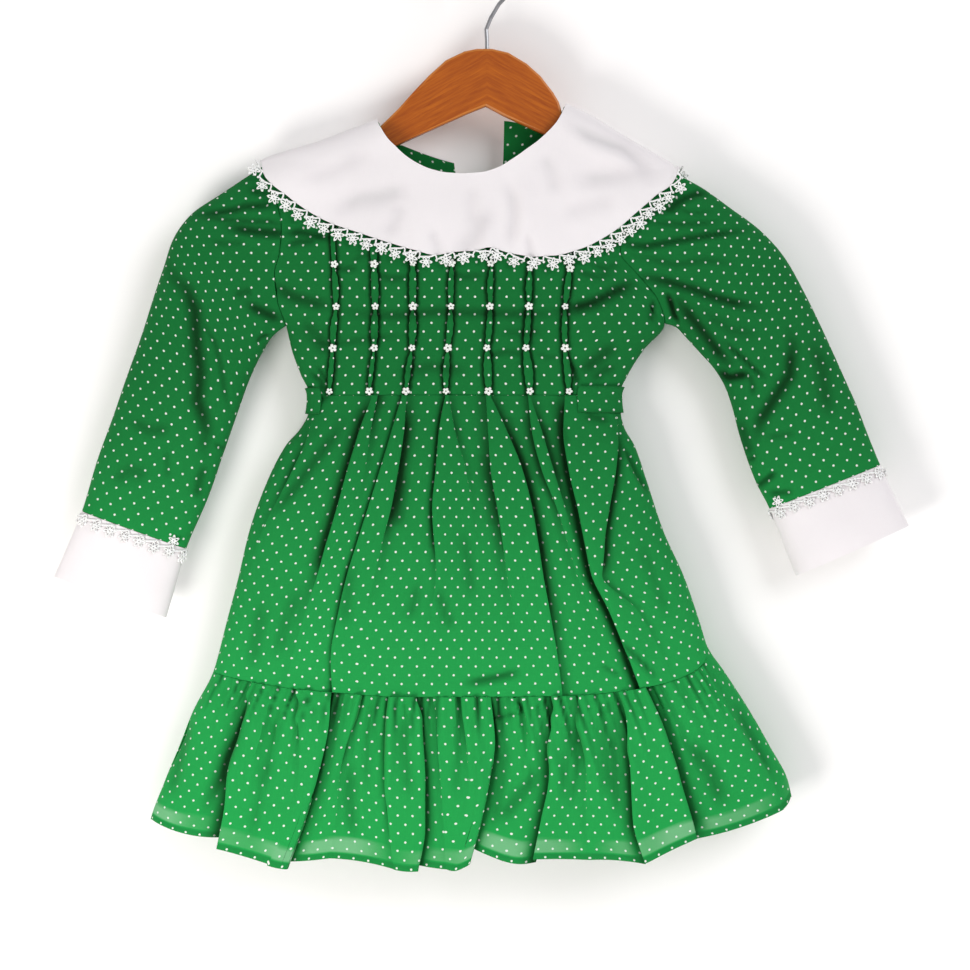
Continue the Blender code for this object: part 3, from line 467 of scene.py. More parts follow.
def make_mottle():
    group, given, result = new_group(
        "Mottle", [("Place", "NodeSocketVector", None), ("Size", "NodeSocketFloat", 18.0)], ["Patch"]
    )
    cloud = put(group, "ShaderNodeTexNoise", Vector=given.outputs["Place"], Scale=given.outputs["Size"], Detail=3.0)
    patch = put(group, "ShaderNodeMapRange", Value=cloud.outputs["Fac"], _1=0.3, _2=0.7, _3=0.0, _4=1.0)
    group.links.new(patch.outputs[0], result.inputs["Patch"])
    return group


DOTS, WEAVE, MOTTLE = make_dots(), make_weave(), make_mottle()
print("node groups:", [g.name for g in (DOTS, WEAVE, MOTTLE)])

# %% [markdown]
# ## Cloth materials
#
# The green cotton is dyed through and its dots are white. Cotton this thin also lets light through, so
# a Translucent shader is mixed in with the plain one. In the depth of a fold the cloth sees little
# light, and an attribute paints that shade into the colour, towards a full-shade colour. The colour is
# also painted darker higher up the dress, as painted shade for light that falls off towards the top.
# A second attribute paints the ruffle paler where one layer hangs and darker on its doubled hem, as
# painted light and shade for the wall's light that comes through. White cotton uses the same recipe
# with no dots.

# %% Cotton


def use(tree, group, **values):
    node = tree.nodes.new("ShaderNodeGroup")
    node.node_tree = group
    for key, value in values.items():
        if isinstance(value, bpy.types.NodeSocket):
            tree.links.new(value, node.inputs[key])
        else:
            node.inputs[key].default_value = value
    return node


def blend(tree, factor, a, b):
    return put(tree, "ShaderNodeMix", {"data_type": "RGBA", "clamp_factor": True}, _0=factor, _6=a, _7=b).outputs[2]


def rgba(colour, share=1.0):
    return tuple(share * v for v in colour) + (1.0,)


def noise(tree, place, scale, **more):
    return put(tree, "ShaderNodeTexNoise", Vector=place, Scale=scale, **more).outputs["Fac"]


def blank(name):
    """A new material with its tree, and its object coordinates, which stay put when the object is moved."""
    material = bpy.data.materials.new(name)
    material.use_nodes = True
    tree = material.node_tree
    tree.nodes.clear()
    return material, tree, tree.nodes.new("ShaderNodeTexCoord").outputs["Object"]


def surface(tree, shader):
    end = tree.nodes.new("ShaderNodeOutputMaterial")
    tree.links.new(shader.outputs[0], end.inputs["Surface"])


# Painted colours: a dark green for painted shade high on the dress, and a pale green for painted light through the
# ruffle's single layer. The dots' white is woven in.
UPPER_SHADE_GREEN, THROUGH_LIGHT_GREEN, DOT_WHITE = (0.002, 0.075, 0.014), (0.30, 0.62, 0.36), (0.97, 1.0, 0.95)
RUFFLE_LEVEL, CHEST_LEVEL = -0.62, -0.30


def cotton(name, dye, full_shade, dotted, glow, glow_share=0.28, thread=0.00034, bump=0.25):
    material, tree, place = blank(name)
    cloth = put(tree, "ShaderNodeUVMap", {"uv_map": "cloth"}).outputs[0]
    weave = use(tree, WEAVE, Cloth=cloth, Thread=thread)
    patch = use(tree, MOTTLE, Place=place, Size=16.0).outputs["Patch"]
    painted_shade = put(tree, "ShaderNodeAttribute", {"attribute_name": "painted_shade"}).outputs["Fac"]
    painted_through_light = put(tree, "ShaderNodeAttribute", {"attribute_name": "painted_through_light"}).outputs["Fac"]
    slub_dye = rgba([min(1.0, 1.35 * v + 0.01) for v in dye])
    body_dye = blend(tree, sums(tree, "MULTIPLY", patch, 0.35), rgba(dye), rgba(dye, 0.82))
    body_dye = blend(tree, sums(tree, "MULTIPLY", weave.outputs["Slub"], 0.30), body_dye, slub_dye)
    if dotted:
        # Painted shade: the colour darkens higher up the dress, for light that falls off towards the top.
        high = put(tree, "ShaderNodeSeparateXYZ", Vector=place).outputs[2]
        upper_shade = put(
            tree, "ShaderNodeMapRange", {"interpolation_type": "SMOOTHSTEP"},
            Value=high, _1=RUFFLE_LEVEL, _2=CHEST_LEVEL, _3=0.0, _4=0.66,
        )
        body_dye = blend(tree, upper_shade.outputs[0], body_dye, rgba(UPPER_SHADE_GREEN))
        # Painted light where only one layer hangs, and painted shade on the doubled hem.
        pale = blend(tree, sums(tree, "MAXIMUM", painted_through_light, 0.0), body_dye, rgba(THROUGH_LIGHT_GREEN))
        hem = sums(tree, "MAXIMUM", sums(tree, "MULTIPLY", painted_through_light, -1.0), 0.0)
        body_dye = blend(tree, hem, pale, rgba(full_shade))
        dot = use(tree, DOTS, Cloth=cloth).outputs["Dot"]
        body_dye = blend(tree, sums(tree, "MULTIPLY", dot, 0.93), body_dye, rgba(DOT_WHITE))
    # Painted shade: folds, tucks and creases are darkened towards the full-shade colour.
    shaded = blend(tree, painted_shade, body_dye, rgba(full_shade))
    height = weave.outputs["Height"]
    if dotted:
        height = sums(tree, "ADD", height, sums(tree, "MULTIPLY", dot, 1.2))
    relief = put(tree, "ShaderNodeBump", Strength=bump, Distance=0.0002, Height=height)
    skin = put(
        tree, "ShaderNodeBsdfPrincipled",
        Base_Color=shaded, Roughness=0.82, Specular_IOR_Level=0.12, Normal=relief.outputs[0],
        Sheen_Weight=0.06, Sheen_Roughness=0.45,
    )
    glowing = blend(tree, 0.55, shaded, rgba(glow))
    through = put(tree, "ShaderNodeBsdfTranslucent", Color=glowing, Normal=relief.outputs[0])
    surface(tree, put(tree, "ShaderNodeMixShader", _0=glow_share, _1=skin.outputs[0], _2=through.outputs[0]))
    return material


# Each cotton: its dye, the colour of painted full shade in its folds, whether it is dotted, and the colour of light
# through it.
GREEN = cotton("Green pin-dot cotton", (0.016, 0.375, 0.078), (0.0008, 0.020, 0.003), True, (0.025, 0.52, 0.11))
WHITE = cotton("White collar cotton", (0.940, 0.895, 0.900), (0.50, 0.47, 0.49), False, (0.85, 0.83, 0.85), 0.22)
print("cottons:", GREEN.name, "and", WHITE.name)

# %% [markdown]
# ## Bodice front
#
# Seven narrow box tucks run down from under the collar to the waist. Each stands on two fold lines
# about 4 mm apart, and a knot pinches it every 33 mm. The lines are the same kind of fold as the
# skirt's, only small. Between knots a tuck bulges by its own amount, as pressed cloth does once worn.

# %% Bodice front
# x, height of the neck's edge
FRONT_NECK = (
    (-0.0870, -0.1350),
    (-0.0830, -0.1440),
    (-0.0740, -0.1560),
    (-0.0600, -0.1670),
    (-0.0430, -0.1750),
    (-0.0260, -0.1780),
    (-0.0040, -0.1770),
    (0.0110, -0.1720),
    (0.0260, -0.1620),
    (0.0390, -0.1530),
    (0.0490, -0.1440),
    (0.0580, -0.1330),
    (0.0620, -0.1225),
)

KNOT_ROWS = (-0.2517, -0.2851, -0.3176, -0.3518)
TUCK_STEP, TUCK_HALF, TUCK_BULGE = 0.0046, 0.0017, 0.0012
TUCK_FADE = (-0.196, -0.214)  # under the collar the tucks lie flat
TUCK_RISE = (-0.236, -0.256)  # and stand up fully only below its edge
BODICE_TOP = -0.17

# height, x of each of the seven tucks
TUCKS = (
    (-0.1835, -0.1246, -0.0921, -0.0603, -0.0270, 0.0032, 0.0341, 0.0651),
    (-0.2517, -0.1215, -0.0897, -0.0588, -0.0278, 0.0032, 0.0341, 0.0659),
    (-0.2851, -0.1199, -0.0889, -0.0588, -0.0286, 0.0024, 0.0333, 0.0619),
    (-0.3176, -0.1227, -0.0897, -0.0596, -0.0310, -0.0000, 0.0309, 0.0619),
    (-0.3518, -0.1254, -0.0937, -0.0643, -0.0326, 0.0012, 0.0341, 0.0651),
)

# lift in millimetres, half width in millimetres, side of a raised lip, then x and z along the crease
BODICE_CREASES = (
    (-2.6, 5.0, 0, -0.1739, -0.2652, -0.1532, -0.2764, -0.1366, -0.2811, -0.1223, -0.2827),
    (-1.8, 2.6, 1, -0.1239, -0.2517, -0.1127, -0.2541, -0.1024, -0.2533),
    (-1.2, 2.2, 0, -0.1072, -0.2470, -0.1008, -0.2438, -0.0929, -0.2422),
    (-1.7, 2.8, 1, -0.0873, -0.2581, -0.0754, -0.2621, -0.0619, -0.2597),
    (-1.5, 3.4, 0, -0.0302, -0.2581, -0.0167, -0.2597, -0.0000, -0.2581),
    (-2.0, 4.4, 0, -0.1199, -0.2859, -0.0969, -0.2899, -0.0699, -0.2906, -0.0413, -0.2875, -0.0127, -0.2883,
     0.0413, -0.2899, 0.0683, -0.2875),
    (-1.2, 3.0, 0, -0.1485, -0.3089, -0.1246, -0.3137, -0.0913, -0.3089, -0.0611, -0.3057),
    (-1.5, 2.5, 1, -0.0016, -0.3240, 0.0143, -0.3200, 0.0286, -0.3212),
    (-1.2, 2.2, 0, 0.0381, -0.3200, 0.0484, -0.3240, 0.0579, -0.3232),
    (-2.4, 2.2, 1, -0.1421, -0.3359, -0.1334, -0.3430, -0.1270, -0.3549),
    (-2.0, 2.0, -1, -0.1358, -0.3311, -0.1310, -0.3375, -0.1254, -0.3454),
    (-4.2, 4.4, 1, 0.0579, -0.2875, 0.0722, -0.2851, 0.0857, -0.2811, 0.1040, -0.2716, 0.1214, -0.2629),
    (-1.6, 3.0, 0, 0.0698, -0.2549, 0.0873, -0.2597, 0.1016, -0.2565),
    (-1.4, 3.0, 0, 0.0818, -0.2486, 0.0945, -0.2533, 0.1072, -0.2486),
    (-3.0, 2.0, 0, 0.0659, -0.3272, 0.0698, -0.3343, 0.0730, -0.3470),
    (-2.4, 5.5, 0, 0.0738, -0.3359, 0.0897, -0.3248, 0.1040, -0.3129),
    (-1.8, 4.0, 0, 0.0833, -0.3422, 0.0945, -0.3343, 0.1040, -0.3311),
    (-3.0, 3.2, 0, -0.1628, -0.2248, -0.1485, -0.2240, -0.1342, -0.2271, -0.1215, -0.2295),
    (-2.2, 3.0, 0, -0.1596, -0.2343, -0.1485, -0.2311, -0.1358, -0.2319),
    (-4.0, 1.9, 0, 0.1326, -0.2779, 0.1326, -0.2962),
    (-1.6, 6.0, 0, -0.1485, -0.2962, -0.1342, -0.3073, -0.1278, -0.3232),
    (-1.4, 5.0, 0, -0.0691, -0.3359, -0.0453, -0.3311, -0.0135, -0.3351),
    (-1.2, 4.0, 0, 0.0103, -0.3026, 0.0278, -0.3057, 0.0460, -0.3026),
)


def ridge_or_neck(x):
    top = curve(RIDGE, x)
    return np.where((x > NECK_LEFT) & (x < NECK_RIGHT), np.minimum(top, curve(FRONT_NECK, x)), top)


def tuck_lines(z):
    """The two fold lines of each tuck at each height, between the side edges."""
    left, right = edges(z)
    lines = [left]
    for n in range(7):
        middle = straight(TUCKS, z, n + 1)
        for side in (-1, 1):
            bulge = 0.0
            for k in range(3):
                top, low = KNOT_ROWS[k], KNOT_ROWS[k + 1]
                own = 0.5 + 0.5 * math.sin(7.1 * n + 3.7 * k + 2.0 * side)
                t = np.clip((z - top) / (low - top), 0.0, 1.0)
                bulge = bulge + TUCK_BULGE * own**2 * np.sin(math.pi * t) ** 2
                bulge = bulge + 0.0002 * np.sin(9 * math.pi * t + n)
            pinch = sum(bell((z - row) / 0.0050) for row in KNOT_ROWS)
            half = TUCK_HALF - 0.0006 * np.clip(pinch, 0, 1) + bulge
            lines.append(middle + side * half)
    return np.stack(lines + [right], axis=-1)


def make_bodice_front():
    counts = [26] + [7, 13] * 6 + [7, 22]
    span, part = span_columns(counts)
    rows = 110
    t = np.linspace(0.0, 1.0, rows)[:, None]
    z = BODICE_TOP + (WAIST - BODICE_TOP) * t * np.ones((1, len(span)))
    here, last = np.arange(len(span)), len(counts) - 1
    for _ in range(5):
        x = np.empty_like(z)
        for j in range(rows):
            x[j] = between_lines(tuck_lines(z[j]), span, part)
        top = ridge_or_neck(x[0])
        for _ in range(3):
            lines = tuck_lines(top)
            left, right = lines[here, span], lines[here, span + 1]
            top = ridge_or_neck(left + (right - left) * part)
        z = top + (WAIST - top) * t
    points = body(True, w_at(x, z), z)
    normals = facing(points)
    strong = ease(*TUCK_FADE, z)
    lift, shade = crease_push(points, BODICE_CREASES)
    shift, shade = 0.0, 1.2 * shade
    lines = tuck_lines(z)
    raised = 0.35 + 0.65 * ease(*TUCK_RISE, z)
    for k in range(1, last + 1):
        side = 1 if k % 2 else -1
        own = TUCK_STEP * (0.9 + 0.2 * math.sin(5.3 * k))
        a, b, c = fold_over(x, lines[..., k], own * strong, side, 0.0026, 0.0040)
        lift, shift, shade = lift + 0.7 * raised * a, shift + 0.7 * b, shade + 2.0 * c
    points = points + normals * lift[..., None]
    points[..., 0] += shift
    u = cloth_run(points, span, part, np.repeat(strong[:, :1], last, axis=1))
    uv = np.stack([u + 0.003, z], axis=-1)
    # The tucks' lines and the creases are darkened by painted shade.
    obj = lay_out("bodice_front_cloth", points, uv, painted_shade=np.clip(shade, 0, 0.97))
    return wear(obj, GREEN, "green_cotton", "bodice_front"), points


BODICE_FRONT, BODICE_POINTS = make_bodice_front()
print("bodice front:", len(BODICE_FRONT.data.polygons), "faces")

# %% [markdown]
# ## Bodice back
#
# Behind, the bodice is two plain halves that close with buttons. The photograph shows only their
# neck edges, so they get a calm surface with a few drag lines towards the armholes and the waist.

# %% Bodice back
# x, height of each half's neck edge
BACK_NECK_LEFT = (
    (-0.0870, -0.1350),
    (-0.0850, -0.1440),
    (-0.0660, -0.1535),
    (-0.0300, -0.1660),
    (-0.0100, -0.1700),
)
BACK_NECK_RIGHT = (
    (0.0000, -0.1325),
    (0.0140, -0.1330),
    (0.0500, -0.1390),
    (0.0600, -0.1320),
    (0.0620, -0.1225),
)

# height, x of the inner edge of the left half and of the right one
BACK_OPENING = (
    (-0.1200, -0.0270, 0.0140),
    (-0.1650, -0.0265, 0.0130),
    (-0.1950, -0.0200, 0.0085),
    (-0.2300, -0.0120, -0.0020),
    (-0.2600, -0.0088, -0.0076),
    (-0.3540, -0.0086, -0.0078),
)

# creases as on the bodice's front
BACK_CREASES = (
    (1.2, 6.0, 0, -0.150, -0.232, -0.126, -0.244, -0.104, -0.250),
    (-1.6, 5.0, 0, -0.156, -0.262, -0.132, -0.268, -0.110, -0.268),
    (-1.6, 6.0, 0, -0.120, -0.346, -0.094, -0.334, -0.076, -0.312),
    (1.2, 6.0, 0, -0.060, -0.350, -0.050, -0.326, -0.044, -0.300),
    (-1.6, 5.0, 0, 0.106, -0.250, 0.082, -0.260, 0.060, -0.262),
    (1.3, 6.0, 0, 0.116, -0.286, 0.092, -0.296, 0.070, -0.300),
    (-1.5, 6.0, 0, 0.094, -0.344, 0.072, -0.334, 0.056, -0.316),
    (1.1, 6.0, 0, 0.030, -0.348, 0.036, -0.326, 0.038, -0.300),
)


def make_bodice_back(right):
    neck, side = (BACK_NECK_RIGHT, 1.0) if right else (BACK_NECK_LEFT, -1.0)
    columns, rows = 84, 80
    even = np.linspace(0.0, 1.0, columns)
    part = even**1.35
    t = np.linspace(0.0, 1.0, rows)[:, None]

    def place(z):
        inner = w_at(curve(BACK_OPENING, z, 2 if right else 1), z)
        return side + (inner - side) * part

    def top_of(x):
        ridge = curve(RIDGE, x)
        inside = x < NECK_RIGHT if right else x > NECK_LEFT
        return np.where(inside, np.minimum(ridge, curve(neck, x)), ridge)

    top = np.full(columns, -0.15)
    for _ in range(6):
        top = top_of(x_at(place(top), top))
    z = top + (WAIST - top) * t
    points = body(False, place(z), z)
    if not right:
        points, z = points[:, ::-1], z[:, ::-1]
    lift, shade = crease_push(points, BACK_CREASES)
    points = points + facing(points) * lift[..., None]
    u = run_along(points)
    middle = columns // 2
    u = u - u[:, [middle]] + u[-1, middle]
    uv = np.stack([u + 0.004 * side, z], axis=-1)
    node = "bodice_back_right" if right else "bodice_back_left"
    # Painted shade in the sunk creases.
    obj = lay_out(f"{node}_cloth", points, uv, painted_shade=0.6 * shade)
    return wear(obj, GREEN, "green_cotton", node)


BODICE_BACKS = [make_bodice_back(False), make_bodice_back(True)]
print("bodice backs:", [len(o.data.polygons) for o in BODICE_BACKS], "faces")

# %% [markdown]
# ## Skirt front
#
# Below each tuck the pressed cloth lets go and becomes a long fold. The strongest one starts at the
# seventh tuck and runs to the ruffle under a flat three-cornered flap. Fold lines are given by where
# they lie at nine heights, and by how far the cloth steps over there.

# %% Skirt front
# place across, height of the skirt's lower seam in front and behind
RUFFLE_SEAM = (
    (-1.00, -0.5750, -0.5750),
    (-0.86, -0.5808, -0.5770),
    (-0.68, -0.5863, -0.5780),
    (-0.50, -0.5896, -0.5780),
    (-0.25, -0.5929, -0.5770),
    (0.00, -0.5929, -0.5750),
    (0.37, -0.5920, -0.5720),
    (0.54, -0.5891, -0.5700),
    (0.71, -0.5839, -0.5670),
    (0.86, -0.5753, -0.5630),
    (0.96, -0.5644, -0.5580),
    (1.00, -0.5550, -0.5550),
)

# height, x of each fold line at that height, from the left side seam to the right one
SKIRT_LINES = (
    (-0.3559, -0.1371, -0.0919, -0.0872, -0.0674, -0.0634, -0.0329, -0.0301, -0.0008, 0.0032, 0.0325,
     0.0348, 0.0618, 0.0990),
    (-0.3820, -0.1418, -0.0995, -0.0919, -0.0737, -0.0662, -0.0365, -0.0254, 0.0008, 0.0150, 0.0356,
     0.0428, 0.0618, 0.1046),
    (-0.4137, -0.1541, -0.1090, -0.0967, -0.0832, -0.0713, -0.0392, -0.0167, 0.0032, 0.0269, 0.0436,
     0.0523, 0.0665, 0.1010),
    (-0.4454, -0.1712, -0.1177, -0.1054, -0.0935, -0.0769, -0.0420, -0.0119, 0.0087, 0.0348, 0.0558,
     0.0626, 0.0741, 0.0951),
    (-0.4731, -0.1830, -0.1264, -0.1149, -0.1026, -0.0832, -0.0412, -0.0103, 0.0127, 0.0396, 0.0642,
     0.0705, 0.0796, 0.0911),
    (-0.4969, -0.1886, -0.1343, -0.1220, -0.1101, -0.0888, -0.0404, -0.0111, 0.0158, 0.0436, 0.0713,
     0.0776, 0.0848, 0.0907),
    (-0.5246, -0.1957, -0.1434, -0.1307, -0.1169, -0.0959, -0.0436, -0.0135, 0.0206, 0.0491, 0.0816,
     0.0887, 0.0982, 0.1188),
    (-0.5643, -0.2044, -0.1545, -0.1395, -0.1236, -0.1030, -0.0468, -0.0167, 0.0261, 0.0562, 0.0943,
     0.1038, 0.1141, 0.1402),
    (-0.5896, -0.2084, -0.1601, -0.1410, -0.1220, -0.1038, -0.0476, -0.0174, 0.0293, 0.0594, 0.0990,
     0.1101, 0.1236, 0.1497),
)

# for each fold line: 1 where its right side lies on top, -1 where its left does; run of the low side,
# run of the high side, then how far it steps at each of the nine heights, in millimetres
SKIRT_STEPS = (
    (1, 0.0080, 0.0160, 0.0, 3.1, 4.7, 3.6, 1.6, 0.0, 0.0, 0.0, 0.0),
    (1, 0.0085, 0.0140, 2.1, 4.7, 5.2, 5.2, 4.2, 2.6, 1.3, 0.5, 0.5),
    (-1, 0.0060, 0.0100, 3.1, 2.6, 1.0, 0.0, 0.0, 0.0, 0.0, 0.0, 0.0),
    (1, 0.0035, 0.0140, 3.1, 5.2, 5.2, 4.2, 3.6, 3.6, 3.1, 2.6, 3.1),
    (-1, 0.0080, 0.0120, 2.1, 3.6, 4.2, 3.6, 2.1, 1.0, 0.0, 0.0, 0.0),
    (1, 0.0045, 0.0140, 3.1, 5.2, 5.2, 4.7, 3.1, 1.6, 0.5, 0.0, 0.0),
    (-1, 0.0060, 0.0120, 2.1, 2.6, 1.6, 0.5, 0.0, 0.0, 0.0, 0.0, 0.0),
    (1, 0.0090, 0.0140, 2.6, 2.6, 3.1, 3.1, 2.6, 1.6, 0.5, 0.0, 0.0),
    (-1, 0.0080, 0.0140, 2.6, 3.1, 4.2, 4.7, 4.2, 3.6, 3.1, 2.6, 2.6),
    (1, 0.0060, 0.0100, 2.6, 3.1, 3.1, 2.6, 1.6, 1.0, 0.5, 0.0, 0.0),
    (-1, 0.0070, 0.0100, 2.1, 3.1, 3.1, 2.1, 0.5, 0.0, 0.0, 0.0, 0.0),
    (1, 0.0080, 0.0160, 2.6, 4.7, 6.8, 8.3, 8.8, 8.8, 8.3, 6.8, 6.2),
    (-1, 0.0070, 0.0160, 0.0, 4.7, 5.2, 5.2, 4.7, 2.6, 1.8, 0.5, 0.0),
)

# creases as on the bodice
SKIRT_CREASES = (
    (-2.2, 4.6, 0, -0.1140, -0.3710, -0.1195, -0.3821, -0.1266, -0.3924, -0.1369, -0.4058, -0.1480, -0.4216,
     -0.1607, -0.4375, -0.1725, -0.4509),
    (-2.6, 3.2, 1, -0.0182, -0.5823, -0.0056, -0.5807, 0.0103, -0.5775, 0.0285, -0.5728),
    (-2.6, 2.2, 1, 0.1068, -0.3939, 0.1116, -0.3995, 0.1187, -0.4145, 0.1298, -0.4335),
    (-1.6, 2.0, 0, 0.0902, -0.5680, 0.0981, -0.5720, 0.1060, -0.5768),
    (-2.2, 2.2, 1, 0.1060, -0.5483, 0.1187, -0.5625, 0.1345, -0.5791),
    (-1.8, 2.4, 0, -0.1385, -0.3615, -0.1306, -0.3567, -0.1243, -0.3536),
    (-1.4, 4.5, 0, -0.0546, -0.5032, -0.0570, -0.5166, -0.0625, -0.5324),
    (-1.6, 4.0, 0, -0.0388, -0.5071, -0.0333, -0.5261, -0.0277, -0.5404),
    (-1.2, 5.0, 0, -0.1069, -0.4850, -0.1100, -0.5087, -0.1132, -0.5404),
    (-1.4, 5.0, 0, -0.0657, -0.4137, -0.0673, -0.4375, -0.0705, -0.4612),
    (-1.3, 6.0, 0, -0.1781, -0.5166, -0.1836, -0.5483, -0.1876, -0.5720),
    (-1.3, 6.0, 0, -0.1480, -0.5047, -0.1591, -0.5324, -0.1678, -0.5641),
    (-1.2, 5.0, 0, -0.0198, -0.4612, -0.0151, -0.4850, -0.0119, -0.5166),
    (-1.0, 5.0, 0, 0.1211, -0.4691, 0.1329, -0.5008, 0.1464, -0.5324),
    (-1.4, 2.6, 0, 0.0625, -0.3773, 0.0625, -0.3852, 0.0649, -0.3947),
    (-2.0, 3.4, 0, 0.0775, -0.3694, 0.0878, -0.3718, 0.0989, -0.3742),
)


def level_lines(table, at, left, right):
    """Every fold line's place at each row, between the two edges."""
    lines = [curve(table, at, n) for n in range(1, len(table[0]))]
    return np.stack([left] + lines + [right], axis=-1)


def panel_over_lines(counts, rows, top_of, low_of, lines_of, steps, step_at, creases):
    """Points, pattern coordinates and shade of a front panel with fold lines."""
    span, part = span_columns(counts)
    t = np.linspace(0.0, 1.0, rows)
    w = np.linspace(-1.0, 1.0, len(span))[None, :] * np.ones((rows, 1))
    for _ in range(6):
        z = top_of(w) + (low_of(w, span, part) - top_of(w)) * t[:, None]
        x = np.empty_like(z)
        for j in range(rows):
            x[j] = between_lines(lines_of(z[j], t[j]), span, part)
        w = w_at(x, z)
    points = body(True, w, z)
    normals = facing(points)
    lift, shade = crease_push(points, creases)
    shift, shade, shown = 0.0, 0.8 * shade, []
    for k, row in enumerate(steps):
        side, low, high = row[:3]
        line = np.stack([lines_of(z[j], t[j])[:, k + 1] for j in range(rows)])
        step = 0.001 * np.interp(step_at(z, t[:, None]), *steps_over(row))
        a, b, c = fold_over(x, line, step * (1 - 0.9 * np.abs(w) ** 8), side, low, high)
        lift, shift, shade = lift + a, shift + b, shade + c
        shown.append(ease(0.0006, 0.0020, step[:, 0]))
    points = points + normals * lift[..., None]
    points[..., 0] += shift
    return points, cloth_run(points, span, part, np.stack(shown, axis=-1)), w, z, t, shade


def steps_over(row):
    """The places and the sizes of a fold line's steps, in the order that interpolation needs."""
    lines = SKIRT_LINES if len(row) - 3 == len(SKIRT_LINES) else RUFFLE_LINES
    return zip(*sorted((line[0], size) for line, size in zip(lines, row[3:])))


def front_seam(w):
    return curve(RUFFLE_SEAM, w, 1)


def back_seam(w):
    return curve(RUFFLE_SEAM, w, 2)


def make_skirt_front():
    counts = [24, 17, 9, 13, 13, 17, 11, 17, 15, 12, 9, 13, 13, 22]
    rows = 120
    points, u, w, z, t, shade = panel_over_lines(
        counts, rows,
        lambda w: np.full_like(w, WAIST - 2 * HALF_SEAM),
        lambda w, span, part: front_seam(w),
        lambda z, t: level_lines(SKIRT_LINES, z, *edges(z)),
        SKIRT_STEPS, lambda z, t: z, SKIRT_CREASES,
    )
    uv = np.stack([u, 0.006 - 0.237 * t[:, None] * np.ones_like(z)], axis=-1)
    # Painted shade in the folds and creases.
    obj = lay_out("skirt_front_cloth", points, uv, painted_shade=np.clip(1.5 * shade, 0, 0.94))
    return wear(obj, GREEN, "green_cotton", "skirt_front")


# how far down the ruffle, x of each fold line there
RUFFLE_LINES = (
    (0.00, -0.1881, -0.1501, -0.1233, -0.1019, -0.0763, -0.0569, -0.0403, -0.0190, 0.0031, 0.0292,
     0.0545, 0.0719, 0.1059, 0.1217, 0.1699),
    (0.25, -0.1928, -0.1478, -0.1280, -0.1099, -0.0778, -0.0522, -0.0387, -0.0166, 0.0047, 0.0316,
     0.0517, 0.0750, 0.1122, 0.1343, 0.1865),
    (0.50, -0.2031, -0.1486, -0.1363, -0.1162, -0.0790, -0.0506, -0.0364, -0.0142, -0.0000, 0.0308,
     0.0506, 0.0782, 0.1146, 0.1454, 0.2062),
    (0.75, -0.2062, -0.1549, -0.1470, -0.1193, -0.0775, -0.0506, -0.0340, -0.0190, -0.0071, 0.0229,
     0.0442, 0.0782, 0.1161, 0.1556, 0.2236),
    (1.00, -0.2122, -0.1731, -0.1596, -0.1241, -0.0735, -0.0561, -0.0324, -0.0293, -0.0158, 0.0126,
     0.0375, 0.0806, 0.1248, 0.1659, 0.2362),
)

# for each fold line: which side lies on top, run of the low side, run of the high side,
# then its step at each of the five places down, in millimetres
RUFFLE_STEPS = (
    (1, 0.0110, 0.0140, 2.6, 4.2, 5.2, 4.7, 5.2),
    (1, 0.0060, 0.0100, 3.1, 2.6, 1.0, 0.0, 0.0),
    (-1, 0.0110, 0.0160, 4.2, 5.2, 6.8, 7.3, 7.3),
    (-1, 0.0060, 0.0120, 4.2, 3.6, 2.1, 1.0, 0.0),
    (1, 0.0050, 0.0120, 4.7, 4.2, 3.1, 2.6, 1.6),
    (-1, 0.0090, 0.0140, 4.2, 5.2, 6.2, 6.2, 6.2),
    (1, 0.0050, 0.0100, 3.1, 2.6, 2.1, 1.6, 0.5),
    (1, 0.0060, 0.0100, 3.6, 2.6, 1.0, 0.0, 0.0),
    (-1, 0.0100, 0.0160, 3.1, 5.2, 7.3, 8.3, 8.3),
    (1, 0.0060, 0.0100, 2.6, 1.6, 0.0, 0.0, 0.0),
    (1, 0.0090, 0.0140, 4.7, 5.7, 6.2, 5.2, 4.7),
    (1, 0.0060, 0.0120, 3.6, 3.1, 2.1, 1.0, 0.0),
    (1, 0.0090, 0.0140, 2.6, 4.2, 4.7, 4.2, 3.1),
    (-1, 0.0120, 0.0160, 4.7, 7.3, 7.8, 6.2, 2.6),
    (-1, 0.0120, 0.0160, 2.1, 3.1, 4.2, 4.2, 3.1),
)

# height of the hem at the left end, the middle and the right end of each span between fold lines
HEM = (
    (-0.6919, -0.7018, -0.7045),
    (-0.7132, -0.7187, -0.7243),
    (-0.7259, -0.7274, -0.7286),
    (-0.7231, -0.7219, -0.7199),
    (-0.7199, -0.7223, -0.7282),
    (-0.7286, -0.7298, -0.7298),
    (-0.7251, -0.7270, -0.7282),
    (-0.7282, -0.7286, -0.7290),
    (-0.7290, -0.7286, -0.7235),
    (-0.7101, -0.7164, -0.7219),
    (-0.7219, -0.7243, -0.7231),
    (-0.7203, -0.7203, -0.7211),
    (-0.7211, -0.7215, -0.7247),
    (-0.7243, -0.7140, -0.7049),
    (-0.7049, -0.6966, -0.6840),
    (-0.6832, -0.6792, -0.6729),
)


SKIRT_FRONT = make_skirt_front()
print("skirt front:", len(SKIRT_FRONT.data.polygons), "faces")
